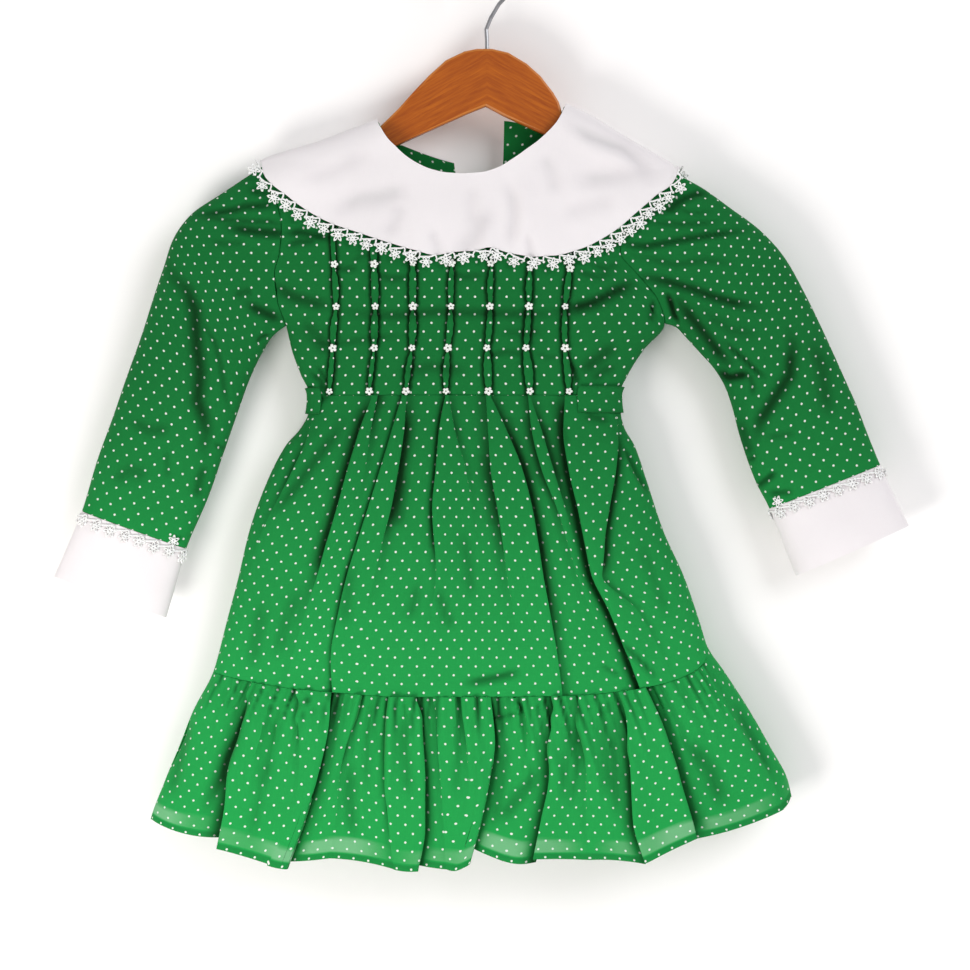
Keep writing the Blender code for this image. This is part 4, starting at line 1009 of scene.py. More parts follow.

# %% [markdown]
# ## Ruffle front
#
# The ruffle is a strip much longer than the seam that it is gathered into, so dozens of small puckers
# leave the seam and a dozen large folds reach the hem, where some lap over their neighbours. Near the
# hem only one layer hangs, and that band is painted paler, as painted light for the wall's light that
# comes through it. The turned-up hem itself is painted darker, as painted shade, and the puckers carry
# painted shade beside them.

# %% Ruffle front
# creases as on the bodice
RUFFLE_CREASES = (
    (-2.4, 2.0, 1, 0.0197, -0.5930, 0.0237, -0.5985, 0.0292, -0.6056),
    (-1.6, 1.6, 1, 0.0016, -0.6111, 0.0142, -0.6080, 0.0284, -0.6048),
    (-3.3, 5.0, 0, -0.1895, -0.5954, -0.1966, -0.6230, -0.2061, -0.6443, -0.2171, -0.6664, -0.2266, -0.6869),
    (-2.1, 5.0, 0, -0.2377, -0.6111, -0.2456, -0.6427, -0.2535, -0.6743),
    (-2.4, 5.0, 0, -0.1066, -0.6427, -0.1082, -0.6743, -0.1050, -0.7059),
    (-1.8, 4.0, 0, -0.1729, -0.6427, -0.1808, -0.6743, -0.1856, -0.7059),
    (-2.7, 6.0, 0, 0.0418, -0.6506, 0.0260, -0.6704, 0.0087, -0.6917),
    (-2.1, 4.0, 0, 0.0687, -0.6111, 0.0718, -0.6427, 0.0655, -0.6822),
    (-3.3, 7.0, 0, 0.1603, -0.6269, 0.1776, -0.6506, 0.1887, -0.6822),
    (-2.4, 4.0, 0, 0.0987, -0.6111, 0.1018, -0.6506, 0.1034, -0.6901),
    (-2.1, 4.0, 0, 0.1966, -0.5954, 0.2124, -0.6269, 0.2297, -0.6585),
    (-2.0, 5.0, 0, -0.1666, -0.6001, -0.1698, -0.6269, -0.1777, -0.6664),
    (-1.8, 4.0, 0, -0.0908, -0.5985, -0.0940, -0.6269, -0.0956, -0.6664),
    (-2.2, 5.0, 0, -0.0656, -0.6048, -0.0648, -0.6364, -0.0608, -0.6743),
    (-1.8, 4.0, 0, -0.0245, -0.6048, -0.0229, -0.6348, -0.0245, -0.6743),
    (-2.0, 5.0, 0, 0.0166, -0.6269, 0.0118, -0.6585, 0.0039, -0.6980),
    (-1.8, 4.0, 0, 0.0624, -0.6048, 0.0639, -0.6348, 0.0592, -0.6743),
    (-2.2, 5.0, 0, 0.0892, -0.6001, 0.0939, -0.6348, 0.0987, -0.6743),
    (1.6, 5.0, 0, -0.1777, -0.5954, -0.1824, -0.6269, -0.1903, -0.6743),
    (1.6, 5.0, 0, -0.1113, -0.5954, -0.1177, -0.6269, -0.1271, -0.6822),
    (1.4, 4.0, 0, -0.0450, -0.6001, -0.0434, -0.6348, -0.0434, -0.6822),
    (1.6, 5.0, 0, 0.0418, -0.5985, 0.0355, -0.6348, 0.0245, -0.6822),
    (1.6, 5.0, 0, 0.1381, -0.6048, 0.1555, -0.6427, 0.1682, -0.6743),
)


PUCKERS = 58


def puckers(w, t):
    """Lift and shade of the small gathers below the seam."""
    lift, shade = np.zeros_like(w), np.zeros_like(w)
    for n in range(PUCKERS):
        spot = -0.985 + 1.97 * (n + 0.5) / PUCKERS + 0.011 * math.sin(12.9898 * n)
        own = 0.5 + 0.5 * math.sin(78.233 * n + 1.0)
        drift = 0.010 * math.sin(4.1 * n) * t
        near = (w - spot - drift) / (0.0075 + 0.004 * own)
        fade = 1 - ease(0.06, 0.28 + 0.60 * own, t)
        lift += (0.0019 + 0.0023 * own) * bell(near) * fade
        # Painted shade in the hollow beside each pucker.
        shade += 0.55 * own * bell((w - spot - drift - 0.011) / 0.0045) * fade * (1 - ease(0.0, 0.3, t))
    return lift - 0.0010 * (1 - ease(0.0, 0.3, t)), shade


def hem_height(w, span, part):
    left, middle, right = np.array(HEM)[span].T
    bow = middle - (left + right) / 2
    return left + (right - left) * part + bow * 4 * part * (1 - part)


def make_ruffle_front():
    counts = [28, 24, 9, 20, 22, 14, 14, 11, 13, 20, 16, 16, 24, 22, 28, 10]
    rows = 64
    points, u, w, z, t, shade = panel_over_lines(
        counts, rows,
        lambda w: front_seam(w) - 2 * HALF_SEAM,
        hem_height,
        lambda z, t: level_lines(RUFFLE_LINES, np.full_like(z, t), *edges(z)),
        RUFFLE_STEPS, lambda z, t: t * np.ones_like(z), RUFFLE_CREASES,
    )
    down = t[:, None] * np.ones_like(z)
    lift, gathered = puckers(w, down)
    points = points + facing(points) * (lift * (1 - np.abs(w) ** 12))[..., None]
    uv = np.stack([u, 0.002 - 0.135 * down], axis=-1)
    # Painted light: a patchy paler band above the hem, where one layer hangs, and painted shade on the turned-up hem.
    hem = ease(0.953, 0.959, down)
    patchy = np.clip(0.70 + 0.50 * np.sin(11 * w + 0.6) + 0.20 * np.sin(31 * w), 0.0, 1.0)
    single_layer_glow = ease(0.868, 0.890, down + 0.012 * np.sin(14 * w)) * patchy * (1 - hem)
    single_layer_glow = single_layer_glow * (1 - np.clip(2 * shade, 0, 1))
    # The puckers' painted shade joins the folds' painted shade in the colour.
    shade = np.clip(0.9 * shade + 1.7 * gathered, 0, 0.92)
    obj = lay_out("ruffle_front_cloth", points, uv, painted_shade=shade, painted_through_light=0.60 * single_layer_glow - 0.30 * hem)
    return wear(obj, GREEN, "green_cotton", "ruffle_front")


RUFFLE_FRONT = make_ruffle_front()
print("ruffle front:", len(RUFFLE_FRONT.data.polygons), "faces")

# %% [markdown]
# ## Skirt back and ruffle back
#
# The back hangs against the wall, so it has softer, wider folds of the same kind, and its hem ends a
# little higher than the front's.

# %% Skirt back and ruffle back
# place across, height of the hem behind
BACK_HEM = (
    (-1.00, -0.6930),
    (-0.80, -0.7000),
    (-0.60, -0.7070),
    (-0.10, -0.7080),
    (0.30, -0.7020),
    (0.60, -0.7000),
    (0.85, -0.6880),
    (1.00, -0.6750),
)


def folds_behind(w, depth):
    """Soft uneven folds that widen towards the hem."""
    wave = np.sin(21 * w + 0.8 * np.sin(5 * w)) + 0.45 * np.sin(37 * w + 1.3) * (1 - 0.5 * depth)
    return 0.0024 * wave * ease(0.0, 0.3, depth)


def make_back_panel(node, columns, rows, top_of, low_of, push, length):
    even = np.linspace(-1.0, 1.0, columns)
    w = np.sign(even) * (1 - (1 - np.abs(even)) ** 1.5)
    w = w[::-1][None, :] * np.ones((rows, 1))
    down = np.linspace(0.0, 1.0, rows)[:, None] * np.ones_like(w)
    z = top_of(w) + (low_of(w) - top_of(w)) * down
    points = body(False, w, z)
    points = points + facing(points) * (push(w, down) * (1 - np.abs(w) ** 6))[..., None]
    u = run_along(points)
    u = u - u[:, [columns // 2]]
    even_u = u * (u[-1, -1] - u[-1, 0]) / (u[:, [-1]] - u[:, [0]])
    uv = np.stack([even_u, -length * down], axis=-1)
    # The doubled hem behind is painted darker too, as painted shade.
    hem = ease(0.945, 0.955, down) if node == "ruffle_back" else np.zeros_like(down)
    # Painted shade in the hollows of the soft folds.
    shade = np.clip(-220 * push(w, down) - 0.2, 0, 0.5)
    obj = lay_out(f"{node}_cloth", points, uv, painted_shade=shade, painted_through_light=-0.34 * hem)
    return wear(obj, GREEN, "green_cotton", node)


def ruffle_folds_behind(w, down):
    gathers = 0.0011 * np.sin(150 * w + 2.0 * np.sin(11 * w)) * (1 - ease(0.05, 0.5, down))
    return 0.0042 * ease(-0.2, 0.8, down) * np.sin(19 * w + 0.6 * down + 0.7 * np.sin(6 * w)) + gathers


SKIRT_BACK = make_back_panel(
    "skirt_back", 190, 80, lambda w: np.full_like(w, WAIST - 2 * HALF_SEAM), back_seam, folds_behind, 0.225
)
RUFFLE_BACK = make_back_panel(
    "ruffle_back", 300, 40, lambda w: back_seam(w) - 2 * HALF_SEAM, lambda w: curve(BACK_HEM, w),
    ruffle_folds_behind, 0.130,
)
print("back panels:", len(SKIRT_BACK.data.polygons), len(RUFFLE_BACK.data.polygons), "faces")

# %% [markdown]
# ## Sleeves and cuffs
#
# A sleeve is a flattened tube. Its table gives the outer and inner edge at thirteen stations from
# shoulder to wrist, and the last two stations carry the white cuff. Drag lines run down from the cap,
# where the loose cloth hangs from the hanger's end, and a few break across the elbow.

# %% Sleeves
WRIST, CUFF_END = 10.0, 12.0  # stations of the cuff's two edges
ARMHOLE_BLEND = 1.8  # stations over which a sleeve takes its armhole's form
TUCK_UNDER = 0.0012  # a sleeve's back edge lies under the bodice's

# x and z of the outer edge, x and z of the inner edge, depth in front and behind, a row for each station
SLEEVE_LEFT = (
    (-0.1780, -0.1700, -0.1610, -0.2985, 0.0120, 0.0095),
    (-0.2110, -0.1920, -0.1680, -0.3040, 0.0150, 0.0110),
    (-0.2370, -0.2100, -0.1735, -0.3100, 0.0170, 0.0120),
    (-0.2510, -0.2300, -0.1780, -0.3180, 0.0175, 0.0125),
    (-0.2580, -0.2510, -0.1825, -0.3260, 0.0175, 0.0125),
    (-0.2660, -0.2750, -0.1860, -0.3335, 0.0175, 0.0125),
    (-0.2755, -0.3050, -0.1905, -0.3440, 0.0170, 0.0125),
    (-0.2880, -0.3400, -0.1990, -0.3680, 0.0165, 0.0120),
    (-0.2990, -0.3720, -0.2105, -0.4010, 0.0160, 0.0120),
    (-0.3110, -0.4050, -0.2215, -0.4330, 0.0155, 0.0115),
    (-0.3235, -0.4465, -0.2400, -0.4765, 0.0150, 0.0115),
    (-0.3345, -0.4730, -0.2480, -0.5040, 0.0150, 0.0115),
    (-0.3455, -0.4985, -0.2560, -0.5315, 0.0150, 0.0115),
)
SLEEVE_RIGHT = (
    (0.1480, -0.1755, 0.1420, -0.2965, 0.0120, 0.0095),
    (0.1700, -0.1870, 0.1500, -0.2990, 0.0145, 0.0110),
    (0.1940, -0.2040, 0.1590, -0.3080, 0.0165, 0.0120),
    (0.2180, -0.2220, 0.1700, -0.3200, 0.0175, 0.0125),
    (0.2370, -0.2430, 0.1800, -0.3310, 0.0175, 0.0125),
    (0.2540, -0.2730, 0.1890, -0.3450, 0.0175, 0.0125),
    (0.2700, -0.3060, 0.1955, -0.3630, 0.0170, 0.0125),
    (0.2840, -0.3370, 0.2010, -0.3840, 0.0165, 0.0120),
    (0.2960, -0.3640, 0.2080, -0.4060, 0.0160, 0.0120),
    (0.3040, -0.3850, 0.2150, -0.4240, 0.0155, 0.0115),
    (0.3140, -0.4095, 0.2255, -0.4445, 0.0150, 0.0115),
    (0.3255, -0.4340, 0.2355, -0.4705, 0.0150, 0.0115),
    (0.3370, -0.4580, 0.2465, -0.4980, 0.0150, 0.0115),
)

# creases as on the bodice
LEFT_CREASES = (
    (-2.8, 3.0, 1, -0.2339, -0.2101, -0.2164, -0.2085, -0.2012, -0.2061, -0.1917, -0.2033, -0.1782, -0.2029,
     -0.1647, -0.2013),
    (-1.9, 2.2, 0, -0.2283, -0.2124, -0.2060, -0.2145, -0.1877, -0.2153, -0.1734, -0.2153, -0.1567, -0.2204),
    (-3.2, 3.6, 1, -0.2076, -0.2204, -0.1829, -0.2240, -0.1647, -0.2252, -0.1551, -0.2252),
    (-1.2, 2.6, 0, -0.2203, -0.2315, -0.2060, -0.2331, -0.1901, -0.2323),
    (-3.4, 6.0, 0, -0.2553, -0.2482, -0.2490, -0.2602, -0.2394, -0.2697, -0.2326, -0.2860, -0.2309, -0.3158,
     -0.2283, -0.3357, -0.2299, -0.3580, -0.2251, -0.3723, -0.2231, -0.3826, -0.2251, -0.3962,
     -0.2219, -0.4081),
    (-1.6, 2.2, 0, -0.2259, -0.2944, -0.2160, -0.3127, -0.2111, -0.3323, -0.2086, -0.3484, -0.2052, -0.3675),
    (1.3, 4.0, 0, -0.2545, -0.2514, -0.2524, -0.2824, -0.2490, -0.3158, -0.2410, -0.3477),
    (-3.2, 4.2, 0, -0.1909, -0.2808, -0.1829, -0.2852, -0.1734, -0.2894, -0.1623, -0.2952),
    (-1.6, 3.8, 0, -0.2012, -0.2745, -0.1941, -0.2721, -0.1853, -0.2705),
    (-2.4, 1.6, 0, -0.1837, -0.3119, -0.1782, -0.3071, -0.1726, -0.3055),
    (-1.6, 1.8, 0, -0.2171, -0.3930, -0.2124, -0.3954, -0.2060, -0.3970),
    (-2.0, 4.4, 0, -0.2235, -0.4089, -0.2275, -0.4200, -0.2315, -0.4375),
    (-1.0, 2.6, 0, -0.2553, -0.3962, -0.2545, -0.4073, -0.2537, -0.4216),
    (-1.8, 3.0, 0, -0.1885, -0.1894, -0.1790, -0.1926, -0.1678, -0.1910),
    (-1.4, 5.0, 0, -0.2840, -0.3739, -0.2681, -0.3819, -0.2506, -0.3803),
    (-1.2, 6.0, 0, -0.2983, -0.4216, -0.2840, -0.4137, -0.2681, -0.4184),
)

# creases as on the bodice
RIGHT_CREASES = (
    (-3.2, 3.2, 1, 0.1392, -0.2069, 0.1471, -0.2037, 0.1567, -0.1973, 0.1670, -0.1933, 0.1790, -0.1926),
    (-1.3, 2.0, 0, 0.1257, -0.2085, 0.1471, -0.2061, 0.1654, -0.2085, 0.1837, -0.2069),
    (-1.6, 2.4, 1, 0.1257, -0.2156, 0.1503, -0.2180, 0.1734, -0.2172, 0.1869, -0.2156),
    (-2.9, 2.6, 1, 0.1010, -0.2291, 0.1153, -0.2347, 0.1273, -0.2355, 0.1503, -0.2315, 0.1734, -0.2275,
     0.1980, -0.2240, 0.2124, -0.2220),
    (-1.3, 3.0, 0, 0.1185, -0.2435, 0.1503, -0.2498, 0.1734, -0.2466, 0.1996, -0.2498),
    (-3.4, 3.6, 1, 0.1169, -0.2625, 0.1288, -0.2613, 0.1440, -0.2645, 0.1638, -0.2705, 0.1786, -0.2761,
     0.1949, -0.2808, 0.2219, -0.2864),
    (-4.6, 2.2, 0, 0.1432, -0.2721, 0.1463, -0.2816, 0.1487, -0.2904, 0.1535, -0.2975),
    (-3.6, 5.0, 0, 0.1487, -0.2753, 0.1607, -0.2912, 0.1734, -0.3071, 0.1837, -0.3206, 0.1957, -0.3333),
    (-2.6, 2.0, 1, 0.1869, -0.3111, 0.2036, -0.3254, 0.2147, -0.3357, 0.2235, -0.3421),
    (-4.6, 3.4, 0, 0.1837, -0.3341, 0.1917, -0.3405, 0.1996, -0.3389, 0.2092, -0.3373),
    (-1.8, 2.4, 0, 0.2076, -0.3373, 0.2108, -0.3453, 0.2116, -0.3548),
    (-3.4, 5.5, 0, 0.2402, -0.3023, 0.2434, -0.3142, 0.2422, -0.3246, 0.2410, -0.3381, 0.2346, -0.3477,
     0.2259, -0.3612, 0.2171, -0.3747, 0.2124, -0.3938),
    (-1.8, 7.0, 0, 0.2585, -0.3103, 0.2680, -0.3325, 0.2696, -0.3540, 0.2744, -0.3739),
    (-2.2, 2.4, 0, 0.2028, -0.4065, 0.2084, -0.4057, 0.2147, -0.4033),
    (-2.8, 2.6, 1, 0.2139, -0.4288, 0.2227, -0.4216, 0.2307, -0.4153),
    (-2.2, 2.6, 0, 0.2235, -0.4328, 0.2330, -0.4320, 0.2442, -0.4312),
    (-1.2, 3.0, 0, 0.2219, -0.3874, 0.2330, -0.3866, 0.2458, -0.3842),
    (-2.0, 5.0, 0, 0.2012, -0.3739, 0.2052, -0.3898, 0.2108, -0.4041),
    (-1.2, 5.0, 0, 0.1694, -0.2864, 0.1933, -0.3023, 0.2171, -0.3071),
)


def sleeve_points(right, u, turn):
    """Outside of a sleeve: u counts its stations, turn goes round from its outer edge over the front."""
    table = [(float(n),) + row for n, row in enumerate(SLEEVE_RIGHT if right else SLEEVE_LEFT)]
    ax, az, bx, bz, front_depth, back_depth = (curve(table, u, n) for n in range(1, 7))
    part = (1 - np.cos(turn)) / 2
    full = np.sqrt(np.maximum(0.0, 1 - np.abs(np.cos(turn)) ** SLEEVE_POWER))
    y = np.where(np.sin(turn) >= 0, -front_depth * full, back_depth * full)
    x, z = ax + (bx - ax) * part, az + (bz - az) * part
    near = (1 - np.minimum(1.0, u / ARMHOLE_BLEND)) ** 2
    _, x0, z0, x1, z1 = table[0][:5]
    level = z0 + (z1 - z0) * part
    seam = edges(level)[1 if right else 0]
    x = x + (seam - (x0 + (x1 - x0) * part)) * near
    w = np.full_like(level, 1.0 if right else -1.0)
    start = np.where(np.sin(turn) >= 0, *(body(front, w, level)[..., 1] for front in (True, False)))
    y = y * (1 - near) + start * near
    return np.stack([x + (ARMHOLE_SEAM if right else -ARMHOLE_SEAM), y, z], axis=-1)


def sleeve_uv(right, points, u):
    """Pattern coordinates in metres: as the sleeve lies on each face, and run on round its edges. The
    grain is level at the shoulder and turns with the arm towards the cuff."""
    rows = SLEEVE_RIGHT if right else SLEEVE_LEFT
    ax, az, bx, bz = rows[int(WRIST)][:4]
    slant = math.atan2(bz - az, bx - ax)
    slant = slant - math.copysign(math.pi, slant) if abs(slant) > math.pi / 2 else slant
    turned = slant * ease(1.0, WRIST, u)
    steps = np.diff(points, axis=1)
    extra = np.linalg.norm(steps, axis=-1) - np.linalg.norm(steps[..., (0, 2)], axis=-1)
    extra = np.concatenate([np.zeros((len(points), 1)), np.cumsum(extra, axis=1)], axis=1)
    count = points.shape[1] - 1
    front = np.arange(count + 1) >= count // 2
    way = unit((points[:, -1] - points[:, count // 2])[:, (0, 2)])
    past = np.where(front, extra - extra[:, [3 * count // 4]], extra[:, [count // 4]] - extra)
    flat = points[..., (0, 2)] + way[:, None] * past[..., None] - np.array([(ax + bx) / 2, (az + bz) / 2])
    across = flat[..., 0] * np.cos(turned) + flat[..., 1] * np.sin(turned)
    return np.stack([across, flat[..., 1] * np.cos(turned) - flat[..., 0] * np.sin(turned)], axis=-1)


def sleeve_tube(name, right, first, last, rows, around, material, slot, node, creases, thick=COTTON):
    u = np.linspace(first, last, rows)[:, None] * np.ones((1, around + 1))
    even = np.linspace(-1.0, 1.0, around + 1)
    turn = math.pi * (even - 0.10 * np.sin(4 * math.pi * even) / math.pi)[None, :] * np.ones((rows, 1))
    points = sleeve_points(right, u, turn)
    normals = np.cross(np.gradient(points, axis=0), np.gradient(points, axis=1))
    closing = (normals[:, :1] + normals[:, -1:]) / 2
    normals[:, :1] = normals[:, -1:] = closing
    normals = unit(normals)
    middle = points.mean(axis=1, keepdims=True)
    flipped = np.mean(np.sum(normals * (points - middle), axis=-1)) < 0
    normals = -normals if flipped else normals
    lift, shade = crease_push(points, creases)
    full = np.sqrt(np.maximum(0.0, 1 - np.abs(np.cos(turn)) ** 6))
    front = np.where(np.sin(turn) > 0, 1.0, -0.45 * ease(0.0, 0.6, u))
    points = points + normals * (lift * full * front)[..., None]
    tucked = np.clip(-4 * np.sin(turn), 0, 1) * (1 - ease(0.0, 0.25, u))
    points = points + TUCK_UNDER * np.array([-1.0 if right else 1.0, -1.0, 0.0]) * tucked[..., None]
    uv = sleeve_uv(right, points, u)
    # Painted shade of the creases, on the sleeve's front only.
    shade = 1.3 * shade * np.where(np.sin(turn) > 0, 1.0, 0.0)
    if flipped:
        points, uv, shade = points[:, ::-1], uv[:, ::-1], shade[:, ::-1]
    obj = lay_out(name, points, uv, painted_shade=np.clip(shade, 0, 0.92), ring=True, thick=thick)
    return wear(obj, material, slot, node)


SLEEVES, CUFFS = [], []
for right, side, creases, sleeve_run, cuff_run in (
    (False, "left", LEFT_CREASES, 0.044, 0.028), (True, "right", RIGHT_CREASES, 0.026, 0.027)
):
    end, start = WRIST - HALF_SEAM / sleeve_run, WRIST + HALF_SEAM / cuff_run
    SLEEVES.append(sleeve_tube(
        f"sleeve_{side}_cloth", right, 0.0, end, 200, 150, GREEN, "green_cotton", f"sleeve_{side}", creases
    ))
    CUFFS.append(sleeve_tube(
        f"cuff_{side}_cloth", right, start, CUFF_END, 24, 110, WHITE, "white_cotton", f"cuff_{side}", (), thick=0.0009
    ))
print("sleeves:", [len(o.data.polygons) for o in SLEEVES], "cuffs:", [len(o.data.polygons) for o in CUFFS])

# %% [markdown]
# ## Collar
#
# The cape collar is one curved piece. It stands up a little at the neck, lies down over the shoulders
# and ends in a point on each arm. Rays run from its neck edge to its outer edge, and the cloth is
# spread between them. Its creases are soft, because the cloth is doubled.

# %% Collar
COLLAR_WALL = 0.0012
TURNS_OVER = (4.0, 21.0)  # the rays on which the collar turns over each shoulder

# x and z of a ray at the neck, x and z at the outer edge, 1 in front and -1 behind
COLLAR = (
    (-0.0270, -0.1660, -0.0270, -0.2330, -1),
    (-0.0450, -0.1605, -0.0700, -0.2300, -1),
    (-0.0660, -0.1535, -0.1120, -0.2190, -1),
    (-0.0850, -0.1440, -0.1500, -0.1990, -1),
    (-0.0870, -0.1350, -0.1800, -0.1700, 0),
    (-0.0830, -0.1440, -0.1580, -0.1960, 1),
    (-0.0790, -0.1500, -0.1450, -0.2060, 1),
    (-0.0730, -0.1560, -0.1255, -0.2170, 1),
    (-0.0650, -0.1635, -0.1015, -0.2255, 1),
    (-0.0550, -0.1700, -0.0775, -0.2335, 1),
    (-0.0430, -0.1750, -0.0575, -0.2395, 1),
    (-0.0300, -0.1775, -0.0375, -0.2430, 1),
    (-0.0170, -0.1780, -0.0120, -0.2400, 1),
    (-0.0040, -0.1770, 0.0020, -0.2375, 1),
    (0.0090, -0.1730, 0.0170, -0.2415, 1),
    (0.0200, -0.1665, 0.0345, -0.2445, 1),
    (0.0300, -0.1595, 0.0520, -0.2440, 1),
    (0.0390, -0.1530, 0.0745, -0.2380, 1),
    (0.0490, -0.1440, 0.0965, -0.2265, 1),
    (0.0560, -0.1360, 0.1160, -0.2110, 1),
    (0.0600, -0.1285, 0.1330, -0.1970, 1),
    (0.0620, -0.1225, 0.1520, -0.1795, 0),
    (0.0600, -0.1320, 0.1200, -0.2000, -1),
    (0.0500, -0.1390, 0.0860, -0.2090, -1),
    (0.0320, -0.1365, 0.0500, -0.2080, -1),
    (0.0145, -0.1335, 0.0150, -0.2020, -1),
)

# creases as on the bodice
COLLAR_CREASES = (
    (-2.4, 5.0, 1, 0.0634, -0.1364, 0.0713, -0.1412, 0.0808, -0.1475, 0.0943, -0.1530, 0.1069, -0.1578,
     0.1212, -0.1681, 0.1331, -0.1760),
    (-2.2, 8.1, 0, 0.0673, -0.1847, 0.0816, -0.1824, 0.0974, -0.1808, 0.1212, -0.1768, 0.1402, -0.1863),
    (-2.0, 5.0, -1, 0.0158, -0.1839, 0.0206, -0.1982, 0.0214, -0.2117, 0.0190, -0.2315, 0.0198, -0.2394),
    (-1.8, 3.4, 0, 0.0309, -0.2251, 0.0341, -0.2378, 0.0356, -0.2505),
    (-2.2, 7.8, 0, 0.0039, -0.2038, -0.0056, -0.2204, -0.0167, -0.2347, -0.0214, -0.2442),
    (-1.6, 4.7, 0, -0.0444, -0.2204, -0.0396, -0.2347, -0.0357, -0.2489),
    (-2.2, 8.5, 0, -0.1212, -0.2109, -0.1125, -0.2030, -0.1022, -0.1982, -0.0808, -0.1950, -0.0579, -0.1887),
    (-1.4, 7.8, 0, -0.1482, -0.1824, -0.1244, -0.1760, -0.1070, -0.1665, -0.0911, -0.1602),
    (-1.6, 6.2, 0, -0.0785, -0.2283, -0.0721, -0.2125, -0.0674, -0.1998),
    (-1.4, 7.8, 0, 0.0578, -0.2117, 0.0816, -0.2038, 0.1054, -0.1998),
    (-1.2, 6.2, 0, -0.0119, -0.1855, -0.0135, -0.2038, -0.0103, -0.2220),
    (-1.4, 6.2, 0, 0.0420, -0.1602, 0.0515, -0.1760, 0.0547, -0.1958),
)


def drape(x, high):
    """Points of the body's outside from x and the distance down from the ridge, behind it when negative."""
    z = curve(RIDGE, x) - np.abs(high)
    w = np.clip(w_at(x, z), -0.999, 0.999)
    points = np.where((high >= 0)[..., None], body(True, w, z), body(False, w, z))
    points[..., 1] += np.where(high >= 0, HALF_SEAM, -HALF_SEAM)
    points[..., 0] = x
    return points


def collar_rays():
    rows = []
    for n, (x0, z0, x1, z1, side) in enumerate(COLLAR):
        low = side * float(curve(RIDGE, x1) - z1)
        rows.append((float(n), x0, side * float(curve(RIDGE, x0) - z0), x1, low))
    return rows


RAYS = collar_rays()
LAST_RAY = float(len(COLLAR) - 1)


def collar_flat(a, b):
    x0, h0, x1, h1 = (curve(RAYS, a, n) for n in range(1, 5))
    return x0 + (x1 - x0) * b, h0 + (h1 - h0) * b


def collar_stand(a, b):
    """How far the collar's underside stands off the body."""
    front = ease(4.0, 7.0, a) * (1 - ease(19.0, 21.0, a))
    tip = sum(bell((a - ray) / 1.2) for ray in TURNS_OVER)
    stand = 0.0013 + front * (b * 0.0015 - 0.0004) + 0.0040 * tip * ease(0.4, 1.0, b)
    wave = 0.0026 * bell((a - 12.9) / 0.55) + 0.0014 * bell((a - 10.2) / 0.8) + 0.0016 * bell((a - 15.6) / 0.9)
    return stand + wave * ease(0.05, 0.9, b)


def collar_at(a, b):
    return drape(*collar_flat(np.clip(a, 0.0, LAST_RAY), b))


def collar_normal(a, b, step=0.02):
    along, down = collar_at(a + step, b) - collar_at(a - step, b), collar_at(a, b + step) - collar_at(a, b - step)
    return -unit(np.cross(along, down))


def collar_places(a, b):
    """Points on the collar's upper face, its creases included."""
    normal = collar_normal(a, b)
    flat = collar_at(a, b)
    push, shade = crease_push(flat, COLLAR_CREASES)
    shown = np.where(flat[..., 1] < 0.002, 1.0, 0.0)
    return flat + normal * (collar_stand(a, b) + COLLAR_WALL + push * shown)[..., None], shade * shown


def collar_columns(count):
    """Places along the collar, closer together where it turns over each shoulder."""
    even = np.linspace(0.0, LAST_RAY, 4001)
    dense = 1 + 3.2 * sum(bell((even - ray) / 0.7) for ray in TURNS_OVER)
    run = np.concatenate([[0.0], np.cumsum((dense[1:] + dense[:-1]) / 2)])
    return np.interp(np.linspace(0.0, run[-1], count), run, even)


def make_collar():
    a = collar_columns(300)[None, :] * np.ones((44, 1))
    b = np.linspace(0.0, 1.0, 44)[:, None] * np.ones_like(a)
    points, shade = collar_places(a, b)
    x, high = collar_flat(a, b)
    uv = np.stack([x, -high], axis=-1)
    # The collar's creases get painted grey shade.
    obj = lay_out("collar_cloth", points, uv, painted_shade=np.clip(0.62 * shade, 0, 0.5), thick=0.0010)
    return wear(obj, WHITE, "white_cotton", "collar")


COLLAR_CLOTH = make_collar()
print("collar:", len(COLLAR_CLOTH.data.polygons), "faces")

# %% [markdown]
# ## Crochet flowers
#
# A flower is six drawn-out loops of crochet round a middle. The thread is thick, so each loop is a
# little torus. The flowers stand in a row along the collar's edge. A wavy cord joins them to it, touches
# the edge beside each flower and carries a picot between each two.

# %% Crochet thread


def crochet(name, colour, twist=900.0):
    material, tree, place = blank(name)
    knots = put(tree, "ShaderNodeTexVoronoi", {"feature": "F1"}, Vector=place, Scale=twist)
    patch = use(tree, MOTTLE, Place=place, Size=90.0).outputs["Patch"]
    tone = blend(tree, sums(tree, "MULTIPLY", patch, 0.4), rgba(colour), rgba(colour, 0.86))
    # Painted shade: the thread darkens in the hollows between its twists.
    hollow_shade = sums(tree, "MULTIPLY", knots.outputs["Distance"], 0.45)
    tone = blend(tree, hollow_shade, tone, rgba(colour, 0.55))
    relief = put(
        tree, "ShaderNodeBump", {"invert": True}, Strength=0.5, Distance=0.0004, Height=knots.outputs["Distance"]
    )
    skin = put(
        tree, "ShaderNodeBsdfPrincipled",
        Base_Color=tone, Roughness=0.8, Specular_IOR_Level=0.25, Normal=relief.outputs[0],
        Subsurface_Weight=0.15, Subsurface_Scale=0.002, Subsurface_Radius=(1.0, 0.9, 0.8),
    )
    surface(tree, skin)
    return material


LACE = crochet("White crochet cotton", (0.96, 0.96, 0.94))
FLOSS = crochet("White embroidery floss", (0.95, 0.96, 0.91), 1300.0)


def torus_points(radius, thread, around, section):
    turn = np.arange(around) * 2 * math.pi / around
    small = np.arange(section) * 2 * math.pi / section
    reach = radius + thread * np.cos(small)[None, :]
    return np.stack([
        reach * np.cos(turn)[:, None], reach * np.sin(turn)[:, None],
        thread * np.sin(small)[None, :] * np.ones((around, 1)),
    ], axis=-1).reshape(-1, 3)


def torus_faces(around, section):
    faces = []
    for i in range(around):
        for j in range(section):
            a, b = i * section + j, i * section + (j + 1) % section
            c, d = ((i + 1) % around) * section + (j + 1) % section, ((i + 1) % around) * section + j
            faces.append((a, d, c, b))
    return faces


